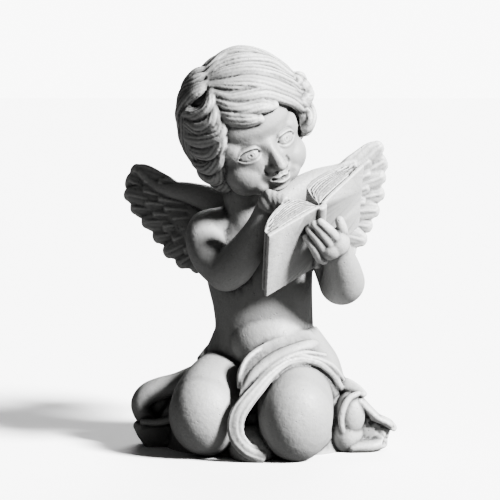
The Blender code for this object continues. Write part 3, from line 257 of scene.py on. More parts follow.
def body():
    """Torso, limbs and bare head as one smooth skin."""
    c = Clay()
    c.tube([(-1, 13, 12), (-0.5, 11, 24), (0, 7, 34), (0.8, 4, 44), (0.3, 3, 54), (-0.8, 4, 64),
            (-1.8, 5, 74), (-3, 5, 82), (-5, 4, 88)],
           [21, 22, 20.3, 18.2, 18.3, 19.5, 20.3, 17, 11],
           [15, 17, 16, 14.8, 14, 13.6, 13, 10.5, 8.5], up=(0, -1, 0), around=72, ends=(0.6, 0.6))
    c.tube([(-5, 4, 84), (-6.5, 2.5, 92), (-7.5, 1, 100), (-8, 0, 108)], [9, 7.6, 7.6, 8],
           [9, 7.8, 8, 8], up=(0, -1, 0))
    c.ball((2.0, -2.5, 41), (14.5, 12, 13))
    c.ball((-9, 5, 70), (12, 11.5, 12))
    c.ball((8, 4, 71), (12, 11, 12))
    # the right arm, bent up to the chin
    c.ball((-20, 3, 80.5), (7.6, 8, 8))
    c.tube([(-13, 4, 84), (-20, 2, 80.5), (-19, -4.5, 73), (-13, -10, 67.5)],
           [6, 7.6, 7.4, 7.6], up=(1, 0, 0))
    c.tube([(-13, -10, 67.5), (-9.5, -13, 70.5), (-4.5, -17, 77.5), (-1, -20, 84), (1.5, -22.5, 91)],
           [7.6, 7.4, 6.2, 5.1, 4.1], up=(1, 0, 0))
    # the left arm, bent up to the book
    c.ball((17.5, 3, 82), (7.8, 8, 8))
    c.tube([(10, 4, 84), (17.5, 3, 82), (24.5, -0.5, 72), (29, -4, 62.5)],
           [6, 7.6, 7.4, 8.2], up=(1, 0, 0))
    c.tube([(29, -4, 62.5), (29.3, -11, 64), (28.5, -18, 69.5), (27, -25, 76.5), (26, -28, 80)],
           [8.3, 7.8, 6.6, 4.7, 4.2], up=(1, 0, 0))
    # thighs, seat and shins
    c.tube([(-8, 14, 22), (-14, 2, 21.5), (-19, -10, 17.5), (-20.5, -15, 15.5)],
           [14.5, 14.2, 13.8, 13.4], [14.5, 15.5, 16.3, 15.5], around=64)
    c.tube([(9, 12, 24), (11.5, 0, 21.5), (12.0, -14, 18), (12.0, -22, 15.6)],
           [14.5, 14, 13.8, 13.4], [14.5, 15.5, 17, 16.4], around=64)
    for s in (-1, 1):
        c.ball((s * 10.5, 15, 19), (12.5, 12.5, 13))
    c.tube([(-22, -6, 8), (-25, 8, 8), (-26, 17, 7.5), (-22, 26, 6)], [8, 8, 6.5, 4.6])
    c.tube([(16, -10, 8), (22, 6, 8), (24, 16, 7.5), (20, 26, 6)], [8, 8, 6.5, 4.6])
    # the bulk of the cloth's two trailing ends
    c.block([(14, -4), (14, 20), (28, 21.5), (33, 22.5), (36.0, 19.5), (38.5, 16.6), (42.0, 13.2),
             (46.8, 11.0), (48.8, 8.8), (48.4, 5.6), (45.2, 1.2), (42.0, -4)], -4.6, 18)
    c.block([(-18, -4), (-18, 9.6), (-36.2, 9.6), (-40, 10.0), (-44.4, 10.1), (-48.2, 8.8),
             (-48.8, 7.2), (-47.0, 3.4), (-45.0, 0.6), (-43, -4)], 4.5, 22)
    # skull, cheeks, nose, eyeballs, lips and chin
    parts = [((0.6, 1.5, 2.8), (18.0, 20.8, 20.6)), ((0, -4.2, -7.0), (16.6, 15.8, 15.6)),
             ((0, -12.6, -19.4), (6.2, 6.0, 4.4)), ((0, -12.2, -16), (8.6, 7.6, 6)),
             ((0, -10.6, 4), (14, 10, 11)), ((0.2, -17.5, -17.7), (4.4, 3.0, 3.1)),
             ((0.5, -21.5, -12.6), (2.3, 2.3, 2.1))]
    for s in (-1, 1):
        parts.append(((s * 7.8, -9.4, -13.2), (8.3, 7.9, 8.2)))
        parts.append(((s * 7.4, -7.6, -16.4), (7.6, 7.4, 6.0)))
        parts.append(((s * 10.0, -8.0, -2.5), (6.8, 8.2, 8.2)))
        parts.append(((0.4 + s * 2.4, -19.2, -13.3), (1.6, 2.1, 1.5)))
        parts.append(((s * 4.6, -11.4, -17.6), (6.6, 6.6, 5.2)))
        parts.append(((s * 7.6, -12.6, -5.8), (4.9, 4.7, 4.5)))
    for centre, radii in parts:
        c.ball(head(centre), radii, HEAD_TURN)
    c.tube(head([(0, -15.4, 0.5), (0.1, -17.4, -3.6), (0.3, -19.2, -7.8), (0.5, -21.0, -11.5)]),
           [2.8, 2.0, 1.9, 2.1], [2.4, 2.0, 2.2, 2.4], up=HEAD_TURN @ np.array([0, -1.0, 0]))
    skin = fuse(c.mesh_object("skin"), min(GRAIN, 0.7), 14, 0.6)
    co = coords(skin)
    local = (co - HEAD) @ HEAD_TURN
    near = (np.linalg.norm(local - (0, -8, -6), axis=1) < 24) & (local[:, 1] < -8)
    co[near] = head(carved_face(local[near]))
    set_coords(skin, co)
    return skin


def carved_face(p):
    """Moves points of the face: each push is a smooth bell of given half sizes."""
    pushes = [((0, -19, -20.6), (5, 4, 1.4), 0.6), ((0, -18, -1.0), (3.4, 5, 2.6), 0.5)]
    for s in (-1, 1):
        pushes.append(((s * 7.6, -15.5, -0.2), (5.4, 6, 2.2), 0.6))
        pushes.append(((s * 3.6, -18, -5.4), (1.9, 6, 3.2), 1.9))
        pushes.append(((s * 8.4, -17, -10.2), (4.4, 6, 1.8), 0.3))
        pushes.append(((s * 8.2, -17, -13.0), (4.6, 6, 4.0), -0.4))
        pushes.append(((s * 5.2, -18.5, -17.8), (1.5, 4, 1.8), 0.8))
    for centre, radii, depth in pushes:
        bell = np.exp(-(((p - centre) / radii) ** 2).sum(1))
        p = p + bell[:, None] * np.array([0, depth, 0])
    return p


# Face: cut into the soft head with a pointed tool. Every line is a stroke on the face seen from
# its front, in the head's own x and z, and raises or lowers the surface as a bell across it.
EYE = np.array([7.7, -5.8])    # middle of the left eye, across and up the face
EYE_WIDE = 3.6            # half width of an eye
LID_UP = 1.85             # rise of the upper lid over the middle, and fall of the lower one
LID_LOW = 1.5
IRIS = 1.2
MOUTH = -17.4             # height of the mouth on the face


def stroke(plane, path, width, rise, n=60):
    """Rise of each point of the plane: a bell of that half width round the smooth path."""
    line = spline(path, n)
    shift = np.zeros(len(plane))
    reach = 3 * width
    near = ((plane > line.min(0) - reach) & (plane < line.max(0) + reach)).all(1)
    gap = ((plane[near][:, None] - line[None]) ** 2).sum(-1).min(1)
    shift[near] = rise * np.exp(-gap / width**2)
    return shift


def score(co, path, width, depth, push, n=60):
    """Cuts a line in space: points near the smooth path move along push, as a bell across it."""
    line = spline(path, n)
    reach = 2.5 * width
    near = ((co > line.min(0) - reach) & (co < line.max(0) + reach)).all(1)
    gap = ((co[near][:, None] - line[None]) ** 2).sum(-1).min(1)
    co[near] += np.exp(-gap / width**2)[:, None] * depth * np.asarray(push, float)


def face_strokes():
    """Lids, iris, pupil, brows, nostrils, lips and folds as (path, half width, rise)."""
    marks = []
    for s in (-1, 1):
        swing = np.linspace(math.pi, 0, 13)
        across = EYE_WIDE * np.cos(swing)
        upper = EYE + np.stack([across, LID_UP * np.sin(swing) ** 0.8 - 0.05 * across], 1)
        lower = EYE + np.stack([across, -LID_LOW * np.sin(swing) - 0.05 * across], 1)
        ring = np.linspace(0, 2 * math.pi, 17)
        iris = EYE + (-0.1, 0.1) + IRIS * np.stack([np.cos(ring), np.sin(ring)], 1)
        inner = EYE + (-EYE_WIDE - 0.2, 0.1)
        outer = EYE + (EYE_WIDE + 0.2, -0.3)
        marks += [((s, 1) * p, w, r) for p, w, r in (
            (upper, 0.40, -0.55), (upper + (0, 0.8), 0.50, 0.40), (upper + (0, 1.75), 0.55, -0.20),
            (lower, 0.34, -0.24), (lower - (0, 0.7), 0.55, 0.18), (lower - (0, 1.8), 0.7, -0.10),
            (iris, 0.26, -0.13), (np.stack([EYE, EYE + (0.1, 0.25)]) + (-0.1, 0.1), 0.50, -0.38),
            (np.stack([inner, inner + (-0.4, -0.3)]), 0.45, -0.10),
            (np.stack([outer, outer + (0.4, 0.1)]), 0.45, -0.05),
            (EYE + np.array([(-4.4, 2.6), (-2.0, 4.6), (1.0, 5.2), (4.4, 3.8)]), 1.3, 0.22),
            (np.array([(1.4, -14.6), (2.1, -14.4)]) + (0.4 * s, 0), 0.5, -0.75),
            (np.array([(4.5, -11.4), (5.0, -13.0), (4.5, -14.2)]) + (0.4 * s, 0), 0.6, -0.5),
            (np.array([(4.8, -13.4), (6.2, -15.4), (6.4, -17.4)]), 1.2, -0.14))]
    half = np.array([(-3.3, 0.45), (-2.1, -0.1), (-0.9, -0.15), (0, 0.1)])
    gap = np.vstack([half, half[2::-1] * (-1, 1)]) + (0.4, MOUTH)
    marks += [(gap, 0.48, -1.25), (gap[[0, 0]] - (0.3, 0.0), 0.6, -0.5),
              (gap[[-1, -1]] + (0.3, 0.0), 0.6, -0.5),
              (gap + np.outer([0.2, 0.7, 1.2, 1.1, 1.2, 0.7, 0.2], (0, 1)), 0.62, 0.42),
              (gap[1:-1] - np.outer([0.7, 1.2, 1.6, 1.2, 0.7], (0, 1)), 0.85, 0.75),
              (np.array([(-2.2, -20.4), (0, -20.7), (2.2, -20.4)]), 1.0, -0.35),
              (np.array([(0.3, -15.0), (0.2, -15.8)]), 0.55, -0.30)]
    return marks


def cut_face(obj):
    """Splits the face's facets in four, then cuts its strokes."""
    bm = bmesh.new()
    bm.from_mesh(obj.data)
    edges = []
    for e in bm.edges:
        mid = ((np.array(e.verts[0].co) + np.array(e.verts[1].co)) / 2 / SHARE - HEAD) @ HEAD_TURN
        if mid[1] < -10 and abs(mid[0]) < 13.5 and -21 < mid[2] < 1.5:
            edges.append(e)
    bmesh.ops.subdivide_edges(bm, edges=edges, cuts=1, use_grid_fill=True, smooth=0.0)
    bm.to_mesh(obj.data)
    bm.free()
    co = coords(obj)
    local = (co - HEAD) @ HEAD_TURN
    near = (local[:, 1] < -9) & (np.abs(local[:, 0]) < 15) & (np.abs(local[:, 2] + 9) < 15)
    plane = local[near][:, [0, 2]]
    rise = sum(stroke(plane, *mark) for mark in face_strokes())
    local[near, 1] -= rise
    co[near] = head(local[near])
    set_coords(obj, co)


# Hair: thick wavy locks combed over from a parting on the figure's right, with curls at the left
# temple. They are modelled one by one on the skull in the same clay, scored with a comb along
# their length, and cast with the head.
HAIR_SHELL = np.array([21.3, 22.6, 23.6])    # half sizes of the egg that the locks lie on
HAIR_MID = np.array([0.6, 1.8, 2.4])
RIBS = 10                 # strands round one lock
RIB_DEPTH = 0.34          # depth of the grooves between them, of the lock's own radius


def on_hair(x, y, z, lift=0.0):
    """The point of the hair's egg-shaped shell in the direction of x, y, z, and its normal."""
    q = (np.array([x, y, z], float) - HAIR_MID) / HAIR_SHELL
    q /= np.linalg.norm(q)
    n = unit(q / HAIR_SHELL)
    return q * HAIR_SHELL + HAIR_MID + n * lift, n


def lock(c, knots, width, height, tip=0.3, phase=0.0):
    """One combed lock: an oval section along a path on the hair's shell. It swells from its
    root and ends in a rounded point; its surface is ribbed by strands that wander round it."""
    points = []
    ups = []
    for knot in knots:
        p, nor = on_hair(*knot)
        points.append(head(p - nor * 0.35 * height))
        ups.append(HEAD_TURN @ nor)
    n = 12 * (len(knots) - 1) + 1
    t = np.linspace(0, 1, n)
    taper = np.sqrt(1 - (1 - tip**2) * (np.clip(t - 0.6, 0, 1) / 0.4) ** 2)
    size = (0.55 + 0.45 * np.sin(np.minimum(3 * t, 1) * math.pi / 2)) * taper

    def ribbed(angle, t):
        wander = 0.45 * np.sin(5 * t + phase) + 0.2 * np.sin(11 * t + 2 * phase)
        groove = 1 - np.abs(np.sin(RIBS / 2 * (angle + wander) + phase))
        depth = RIB_DEPTH * (0.75 + 0.45 * np.sin(2.6 * angle + 6 * t + 2 * phase))
        return 1 - depth * groove**2.0 + 0.08 * np.sin(3 * angle + 4 * t + phase)

    c.tube(spline(points, n), width * size, height * size, up=spline(ups, n), n=n, around=88,
           ends=(1, 1.6), shape=ribbed)


def crown_lock(c, lon, lats, lifts, sway, width, height, phase):
    """A lock that falls from the crown: its longitude sways as its latitude drops."""
    knots = []
    for j, (lat, lift) in enumerate(zip(lats, lifts)):
        la = math.radians(lat)
        lo = math.radians(lon) + sway * math.sin(1.6 * j + phase)
        flat = math.cos(la)
        d = np.array([math.sin(lo) * flat, -math.cos(lo) * flat, math.sin(la)])
        knots.append((*(d * HAIR_SHELL + HAIR_MID), lift))
    lock(c, knots, width, height, phase=phase)


def hair(c):
    """Cap of hair, the fringe swept over from the parting, the curls and the waves."""
    c.ball(head((0.6, 3.6, 3.4)), (20.4, 20.8, 22.2), HEAD_TURN, n=40)
    c.ball(head((0.4, 7, -6)), (18.6, 16.8, 16.0), HEAD_TURN, n=40)
    c.ball(head((19.5, -5.5, 2)), (4.2, 6.5, 8.5), HEAD_TURN)
    c.ball(head((17.5, -1, -6)), (4.6, 7.5, 8.0), HEAD_TURN)
    swept = [
        ([(-11.8, -13.4, 13.4), (-9.1, -17, 10.2, .3), (-5.4, -19.3, 8.2, .9), (-1.4, -20.5, 6.4, 1.6)],
         2.7, 2.3, 0.62),
        ([(-10.6, -12, 16.6), (-8.6, -15.2, 14.1), (-4.6, -18.5, 11.8, .8), (1.7, -19.8, 9.9, 1.5),
          (5.4, -19.4, 8.4, 1.9)], 2.8, 2.5, 0.6),
        ([(-9.7, -9.1, 19.6), (-6.4, -14.7, 16.8, .4), (-0.7, -17.4, 15.2, .9),
          (5.2, -17.8, 13.2, 1.1), (10.8, -17.1, 9.2, 1.1), (15.6, -14, 5.4, 1),
          (20, -10.6, 0.5, 2), (22, -12, -3, 4), (20.9, -14.6, -5.8, 4.6),
          (18.2, -13.7, -6.6, 3.2)], 2.7, 2.3, 0.35),
        ([(-8.8, -6.7, 21.6), (-4, -12.5, 20.2, .6), (2.6, -15.1, 18.3, 1.2),
          (8.6, -15.9, 14.6, 1.4), (14, -14.7, 9.2, 1.4), (19.2, -11, 4.2, 1.8),
          (22.6, -11.6, 2.4, 4.4), (25.6, -11.2, 3.4, 6.2), (25.4, -12, 6.4, 6.4)],
         2.8, 2.4, 0.35),
        ([(-7.5, -4, 23.4), (-2.4, -8, 23.8, .6), (4.5, -11.7, 21.4, 1.4),
          (10.9, -12.8, 16.9, 1.7), (17.1, -10.5, 10.6, 1.7), (20.3, -10.2, 6.6, 2.6),
          (23.6, -9.2, 5.6, 4.6), (25, -11, 7.4, 6), (24.4, -9.6, 9.4, 5.4)], 2.8, 2.5, 0.35),
        ([(-6.1, -1, 24.6), (-0.7, -2.6, 26, .5), (6.6, -5.7, 24.2, 1.5), (14.2, -6.3, 19, 2),
          (19.3, -7, 12.8, 2.2), (21.4, -8.8, 9.6, 3.2), (23.4, -10, 9.8, 5),
          (22.6, -9, 12, 4.6)], 2.9, 2.5, 0.35),
        ([(-4.4, 1.9, 25.3), (3.4, 2.7, 26.4, 1), (9.8, -0.5, 25.2, 2), (15.5, -3.4, 21.4, 2.6),
          (20, -5, 16, 2.8), (22.3, -6.4, 11, 3.2), (24, -5, 8, 4.6)], 3.0, 2.5, 0.35),
        ([(-2.3, 7.2, 24.6), (5, 5.5, 26.1, 1.2), (11.2, 3.7, 24.7, 2.2), (17, 1.6, 19.5, 2.6),
          (21, 0.7, 13, 2.4), (23, 0, 6, 3), (23.6, -2, 2, 4)], 3.1, 2.4, 0.35),
        ([(-4, 11, 23), (4, 12, 24, .8), (12, 11, 21, 1.4), (18.5, 9, 14, 1.6), (21.5, 7, 6, 1.6),
          (21.6, 5, -2, 2.2), (21, 2, -7, 3)], 3.2, 2.3, 0.35),
    ]
    left_curls = [
        ([(18.6, -12.2, 2.4, 1.2), (22.4, -10.4, -1.6, 3.4), (22.5, -13, -4, 5),
          (20.6, -14.2, -6.5, 4.6), (18.3, -13.4, -7.6, 3), (18, -12, -6.2, 1.8)], 1.9, 2.0, 0.4),
        ([(22, -8, 4, 2.4), (24.2, -7.6, -0.5, 4), (23.8, -9.4, -4.6, 5), (21, -11.6, -8.4, 4),
          (18.6, -11.8, -9.6, 2.4)], 1.9, 2.2, 0.4),
        ([(22, -4.5, 4, 2.6), (24.4, -3, -1, 4.2), (23.6, -4, -6, 4.4), (21, -7, -10, 3.6),
          (18.4, -9.4, -11, 2)], 2.0, 2.3, 0.4),
        ([(22.6, -1, 2, 2.4), (24, 1, -4, 3.2), (22, -1, -10, 3), (18.8, -4.4, -13.4, 2)],
         2.6, 2.3, 0.35),
        ([(17.4, -12.1, 3.6, .4), (19.6, -10.4, -0.8, 1.4), (19.4, -12, -3.6, 2.4),
          (17.8, -12, -5.6, 1.4)], 1.7, 1.8, 0.4),
        ([(21.5, -11, 7, 2), (25, -9, 7, 5), (26, -8.6, 10.4, 6), (23.6, -8.4, 12.6, 5)],
         1.7, 1.8, 0.4),
        ([(22.4, -6, 10, 2.4), (25.4, -5, 8, 4.8), (26.4, -6, 4, 6), (25, -8, 1.4, 5.6)],
         1.8, 2.0, 0.4),
    ]
    right_waves = [
        ([(-5.1, 2.3, 25.1), (-7.4, 5.6, 24.2, .4), (-10.2, 7.6, 22.6, .8), (-13.4, 8.4, 20, .9),
          (-15.4, 11, 16, .8)], 2.9, 2.0, 0.3),
        ([(-7, -1.5, 24.2), (-10.5, 1.2, 22.8, .5), (-13.2, 4.8, 20, .9), (-16.4, 7.6, 16.6, 1.2),
          (-18.6, 10, 11, .8)], 2.9, 2.1, 0.3),
        ([(-8.9, -4.9, 22.3), (-11.9, -3.4, 20.7, .5), (-14.8, -0.2, 18.6, .9),
          (-17.4, 4.7, 14.9, 1.2), (-19.3, 7.3, 11.6, 1.1), (-19.4, 9.6, 6, .6)], 2.8, 2.2, 0.3),
        ([(-10.1, -8.1, 19.9), (-12, -9.8, 16.8, .5), (-14.4, -9.4, 14.4, .8),
          (-16.9, -5.8, 13, 1), (-18.4, -0.6, 13.4, 1), (-18.9, 4, 11, .6)], 2.6, 2.2, 0.35),
        ([(-11.3, -11.2, 16.5), (-13, -12.8, 12.4, .4), (-15.6, -11.3, 9.8, .8),
          (-18.3, -7, 8.6, 1), (-19.6, -1.2, 9.6, 1), (-19.6, 4.9, 8.6, .6)], 2.7, 2.2, 0.35),
        ([(-12.4, -13.4, 11.9), (-13.9, -14, 7.5, .4), (-16.4, -11.6, 5, .8), (-19.1, -6.9, 4.1, 1),
          (-20.4, 0, 5, 1), (-20.2, 6.1, 5, .6)], 2.7, 2.2, 0.35),
        ([(-13.6, -14.3, 6.2), (-15.6, -12.6, 1.6, .5), (-18.2, -8.4, -0.9, 1), (-20.1, -2.8, -0.3, 1.2),
          (-20.5, 4.2, 1.2, .8)], 2.7, 2.3, 0.35),
        ([(-15, -12.8, 0.4), (-16.8, -9.5, -4.7, 1), (-18.3, -3.8, -7.3, 1.8),
          (-20.1, 1.9, -6.2, 1.8), (-20.8, 5.3, -3, 1.4)], 2.7, 2.3, 0.35),
        ([(-15.8, -9.8, -5.6, .4), (-16.4, -5.4, -11.2, 1.8), (-18.2, -0.6, -13.4, 3),
          (-20, 3.2, -11.6, 3), (-20.5, 5.6, -8.4, 2)], 2.7, 2.3, 0.35),
        ([(-15, -7, -10, .6), (-14.6, -2.6, -16, 2.4), (-14.4, 2.4, -18.6, 3.6),
          (-16, 6.4, -17, 3.4), (-17.4, 9, -13.6, 2.4)], 2.6, 2.2, 0.35),
        ([(-13.5, -5, -14, 1), (-11.6, -0.5, -19, 2.8), (-9, 4, -21.4, 3.6), (-9, 8, -20.6, 3)],
         2.4, 2.0, 0.35),
    ]
    for i, (knots, width, height, tip) in enumerate(swept + left_curls + right_waves):
        lock(c, knots, 1.12 * width, height, tip, phase=1.7 * i)
    for i in range(9):
        crown_lock(c, 98 + 20.5 * i, (68, 44, 19, -6, -28, -42), (0, .2, .4, .6, .8, 1.4), 0.2,
                   4.4, 2.4, 2.1 * i)
    for i in range(8):
        crown_lock(c, 102 + 22 * i, (26, 2, -18, -35, -45, -40), (.5, .8, 1.0, 1.4, 2.2, 3.4), 0.24,
                   3.5, 2.3, i + 0.5)


# Book: an open book held up by its spine, two boards and two arched blocks of leaves, cast solid
# with the figure. The leaves' edges are scored lines, a little uneven, as a modelling tool leaves
# them.
BOOK_TALL = 31.0
BOOK_COVER = 1.5          # thickness of a board
PAGE_SHEAVES = 6          # gathered bundles of leaves in each block
SPINE_FOOT = np.array([20.0, -13.0, 69.5])
SPINE_HEAD = np.array([20.9, -33.0, 93.4])
LEFT_CORNER = np.array([2.5, -45.0, 83.3])
RIGHT_CORNER = np.array([37.5, -16.0, 107.4])
BOARDS = ((LEFT_CORNER, 24.5, 9.8), (RIGHT_CORNER, 26.0, 10.2))    # outer corner, width, arch


def page_curve(k, arch, width, cover):
    """Edge of one leaf of the block, k of the way up: it rises steeply from the spine and
    falls in a flat arch towards the fore edge."""
    x = np.linspace(0, 1, 18)
    swell = 0.55 * np.sin(np.pi * x**0.62) + 0.45 * np.sqrt(1 - x) * np.minimum(6 * x, 1)
    wave = 0.25 * np.sin(7 * x + 9 * k) * np.sin(np.pi * x)
    return np.stack([0.6 + x * width, cover + k * (arch * swell + 2.7 * x) + wave * k], 1)


def opened():
    """Direction along the spine and, for each board, the direction across it, its inward normal,
    its width and the arch of its leaves; both directions lie square to the spine."""
    s = unit(SPINE_HEAD - SPINE_FOOT)
    boards = []
    for corner, width, arch in BOARDS:
        u = unit(corner - SPINE_HEAD)
        u = unit(u - s * (u @ s))
        n = unit(np.cross(s, u))
        boards.append((u, n if n[1] > 0 else -n, width, arch))
    return s, boards


def book(c):
    """Open book, seen from its covers: two boards, a rounded spine and arched page blocks."""
    s, boards = opened()

    def slab(outline, u, n, low, top, rings=4):
        z = np.linspace(low, top, rings)[:, None, None]
        c.add(SPINE_FOOT + outline[None, :, :1] * u + outline[None, :, 1:] * n + z * s)

    for u, n, width, arch in boards:
        board = np.array([(0.2, 0), (width, 0), (width, BOOK_COVER), (0.2, BOOK_COVER)])
        slab(board, u, n, 0, BOOK_TALL)
        for k in range(PAGE_SHEAVES):
            short = 0.5 * ((3 * k) % 4) / 3
            low = page_curve((k + 0.1) / PAGE_SHEAVES, arch, width - 1.2 - short, 1.2)
            top = page_curve((k + 0.72) / PAGE_SHEAVES, arch, width - 1.2 - short, 1.2)
            slab(np.vstack([low, top[::-1]]), u, n, 0.6 + short, BOOK_TALL - 0.4 - short)
        low = page_curve(0, arch, width - 1.9, 1.2)
        top = page_curve(0.94, arch, width - 2.1, 1.2)
        slab(np.vstack([low, top[::-1]]), u, n, 1.5, BOOK_TALL - 1.5)
    c.tube([SPINE_FOOT + s * 0.3, SPINE_FOOT + s * (BOOK_TALL - 0.3)], 2.0, 1.6,
           up=np.cross(boards[0][0], s), ends=(0.2, 0.2))


def cut_pages(co):
    """Scores the edges of the leaves into the head and the foot of both page blocks."""
    s, boards = opened()
    for u, n, width, arch in boards:
        for k in range(1, 2 * PAGE_SHEAVES - 1):
            edge = page_curve(k / (2 * PAGE_SHEAVES - 1), arch, width - 1.6, 1.2)
            a, b = (k * 5) % 4, 17 - (k * 3) % 5
            line = SPINE_FOOT + edge[a:b, :1] * u + edge[a:b, 1:] * n
            score(co, line + s * (BOOK_TALL - 0.3), 0.40, 1.5, -s, n=90)
            score(co, line + s * 0.5, 0.36, 1.0, s, n=90)


# Hands and feet: small and plump. The left hand clasps the spine of the book from outside, the
# right one is a loose fist under the chin, and the soles show below the cloth behind.
FINGER = 1.95             # half thickness of a finger at the knuckle


def hands(c):
    """The left hand holds the spine from outside, the right one props the chin."""
    front = (0, -1, 0)
    c.ball((26.0, -29.0, 79.8), (5.0, 4.2, 5.2))
    c.ball((24.0, -29.5, 78.0), (4.6, 4.0, 4.4))
    knuckles = np.array([(26.0, -31.5, 81.5), (24.4, -31.3, 78.6), (22.4, -30.4, 76.3),
                         (20.2, -29.2, 74.6)])
    tips = np.array([(20.4, -35.0, 87.4), (18.3, -34.3, 86.6), (16.6, -33.2, 84.6),
                     (15.6, -31.8, 81.8)])
    for knuckle, tip in zip(knuckles, tips):
        mid = (knuckle + tip) / 2 + (0, -1.3, 0.4)
        c.tube([knuckle + (1.4, 1, -1), knuckle, mid, tip],
               [FINGER, FINGER, 0.92 * FINGER, 0.8 * FINGER], up=front, around=12)
    c.tube([(28.5, -27.5, 81), (28.2, -29.8, 84.5), (27.2, -30.3, 87.6)],
           [1.12 * FINGER, FINGER, 0.88 * FINGER], up=front, around=12)
    c.ball((3.0, -24.6, 93.6), (4.8, 4.0, 4.4))
    for i in range(4):
        a = np.array([1.6 + 1.7 * i, -24.0 - 0.8 * i, 96.2 - 0.5 * i])
        c.tube([a, a + (0.8, -2.6, 0.4), a + (1.8, -3.6, -1.8), a + (1.6, -2.4, -3.6)],
               [0.95 * FINGER, 0.95 * FINGER, 0.9 * FINGER, 0.8 * FINGER], around=12)


def feet(c):
    """Soles and toes that show under the cloth behind."""
    for s in (-1, 1):
        c.tube([(s * 15, 26, 7), (s * 14, 35, 6.2), (s * 13.4, 38, 5.2)], [6.2, 6.0, 5.4],
               [5.4, 5.0, 4.2])
        for i in range(5):
            r = 2.3 - 0.25 * i
            c.ball((s * (9.6 + 2.6 * i), 41.2 - 0.55 * i, 2.9), (r, r * 1.2, r))


# Wings: two short wings grown out of the shoulder blades, each a fan of overlapping feathers with a
# thick leading edge. Flight feathers come first, then two rows of coverts on both faces, all
# pressed into one slab thick enough to cast.
FEATHER = 4.3             # half width of a flight feather


def feather(c, root, tip, width, thick, facing, bend=0.0, n=20, tilt=0.0, phase=0.0):
    """A blade from root to tip with a rounded end, combed lengthwise with shallow barbs and
    with a raised shaft on both faces; tilt leans it over its neighbour."""
    root, tip, facing = (np.asarray(v, float) for v in (root, tip, facing))
    axis = tip - root
    side = unit(np.cross(axis, facing))
    facing = unit(facing + side * tilt)
    mid = (root + tip) / 2 + side * bend * np.linalg.norm(axis)
    t = np.linspace(0, 1, n)
    grow = 0.55 + 0.45 * np.sin(np.clip(t / 0.5, 0, 1) * math.pi / 2)
    fall = np.sqrt(1 - 0.66 * (np.clip(t - 0.62, 0, 1) / 0.38) ** 2.4)
    path = spline([root, mid, tip], n)

    def barbs(angle, t):
        wander = 0.25 * np.sin(6 * t + phase)
        return 1 - 0.15 * (1 - np.abs(np.sin(4 * (angle + wander)))) ** 2

    c.tube(path, width * grow * fall, thick * sampled([1, 0.95, 0.8], n), up=facing, n=n,
           around=56, ends=(1, 1.5), shape=barbs)
    for face in (-1, 1):
        c.tube(path + facing * thick * 0.66 * face, 0.6, 0.55, up=facing, n=n, around=8)


def wing(c, side, tips, roots, edge):
    """Flight feathers fanned from the wrist, rows of coverts over them on both faces, a
    thick leading edge and the web that joins the wing to the back."""
    facing = unit(np.array([side * 0.25, -1.0, 0.15]))
    roots = np.array(roots, float)
    tips = np.array(tips, float)
    n = len(roots)
    for i in range(n):
        feather(c, roots[i], tips[i] + (0, 0.5 * (i % 2), 0), FEATHER * (1.45 if i == 1 else 1.1),
                1.6, facing, bend=0.03 * side, tilt=0.14 * side, phase=i)
    rows = ((-0.05, 0.72, 0.8, 0.95), (-0.25, 0.44, 1.3, 0.85))
    for row, (start, end, off, wide) in enumerate(rows):
        for i in range(n):
            j = min(i + 1, n - 1) if row % 2 == 0 else i
            tip = 0.5 * (tips[i] + tips[j])
            root = 0.5 * (roots[i] + roots[j])
            for face in (-1, 1):
                lift = facing * face * off
                feather(c, root + (tip - root) * start + lift * 0.7,
                        root + (tip - root) * end + lift, FEATHER * wide, 1.1, facing,
                        bend=0.02 * side, n=14, tilt=0.14 * side, phase=2.3 * i)
    c.tube(edge, [6.0, 5.2, 4.2, 3.3, 2.6, 1.8], [5.5, 4.2, 3.2, 2.4, 2.0, 1.6], up=facing)
    c.tube([(side * 5.0, 13, 82), roots[6] + (0, -1, 0), roots[4], roots[2]], [9, 8, 6.5, 4],
           [4.5, 3.4, 2.8, 2.2], up=facing)
    mid = roots * 0.7 + tips * 0.3
    c.tube([(side * 6.0, 12, 76), mid[7], mid[5], mid[3], mid[1]], [8, 7.5, 6.5, 6, 5],
           [5, 3.2, 2.6, 2.2, 1.8], up=facing)


def wings(c):
    """The right wing, whose tip hangs back, and the left one, which is raised."""
    wing(c, -1,
         [(-47.4, 26, 101.4), (-49.4, 26, 97.4), (-50.0, 25.5, 92.4), (-47.6, 25, 87.4),
          (-43.4, 24, 82.2), (-39.2, 23, 76.6), (-35.2, 22, 71.0), (-30.4, 21, 67.0),
          (-25.0, 20, 65.4)],
         [(-30, 22, 93), (-29, 22, 91.5), (-27.5, 21.5, 89.5), (-25.5, 21, 87), (-23.5, 20.5, 84.5),
          (-21, 20, 82), (-18.5, 19, 80), (-15.5, 18, 78.5), (-12.5, 17, 77)],
         [(-6, 12, 84), (-16, 16, 90.0), (-26, 20.0, 93.0), (-34.0, 22, 94.3), (-40.0, 24, 96.0),
          (-45.6, 25.5, 100.6)])
    wing(c, 1,
         [(44.0, 29, 110.0), (45.4, 29, 104.4), (45.0, 28.5, 98.8), (44.6, 28, 92.4),
          (42.6, 27, 86.2), (40.0, 26, 80.4), (37.8, 24, 75.4), (33.6, 22.5, 71.0),
          (28.0, 21, 68.6)],
         [(27, 23, 98.5), (26.5, 23, 96.5), (25.5, 22.5, 94), (24, 22, 91), (22, 21, 88),
          (19.5, 20, 85), (17, 19, 83), (14, 18, 81.5), (11, 17, 80)],
         [(2, 12, 85), (10, 16, 92.5), (20, 20.5, 98.0), (29, 23.5, 100.8), (36.5, 26.5, 103.8),
          (42.4, 28.6, 109.2)])


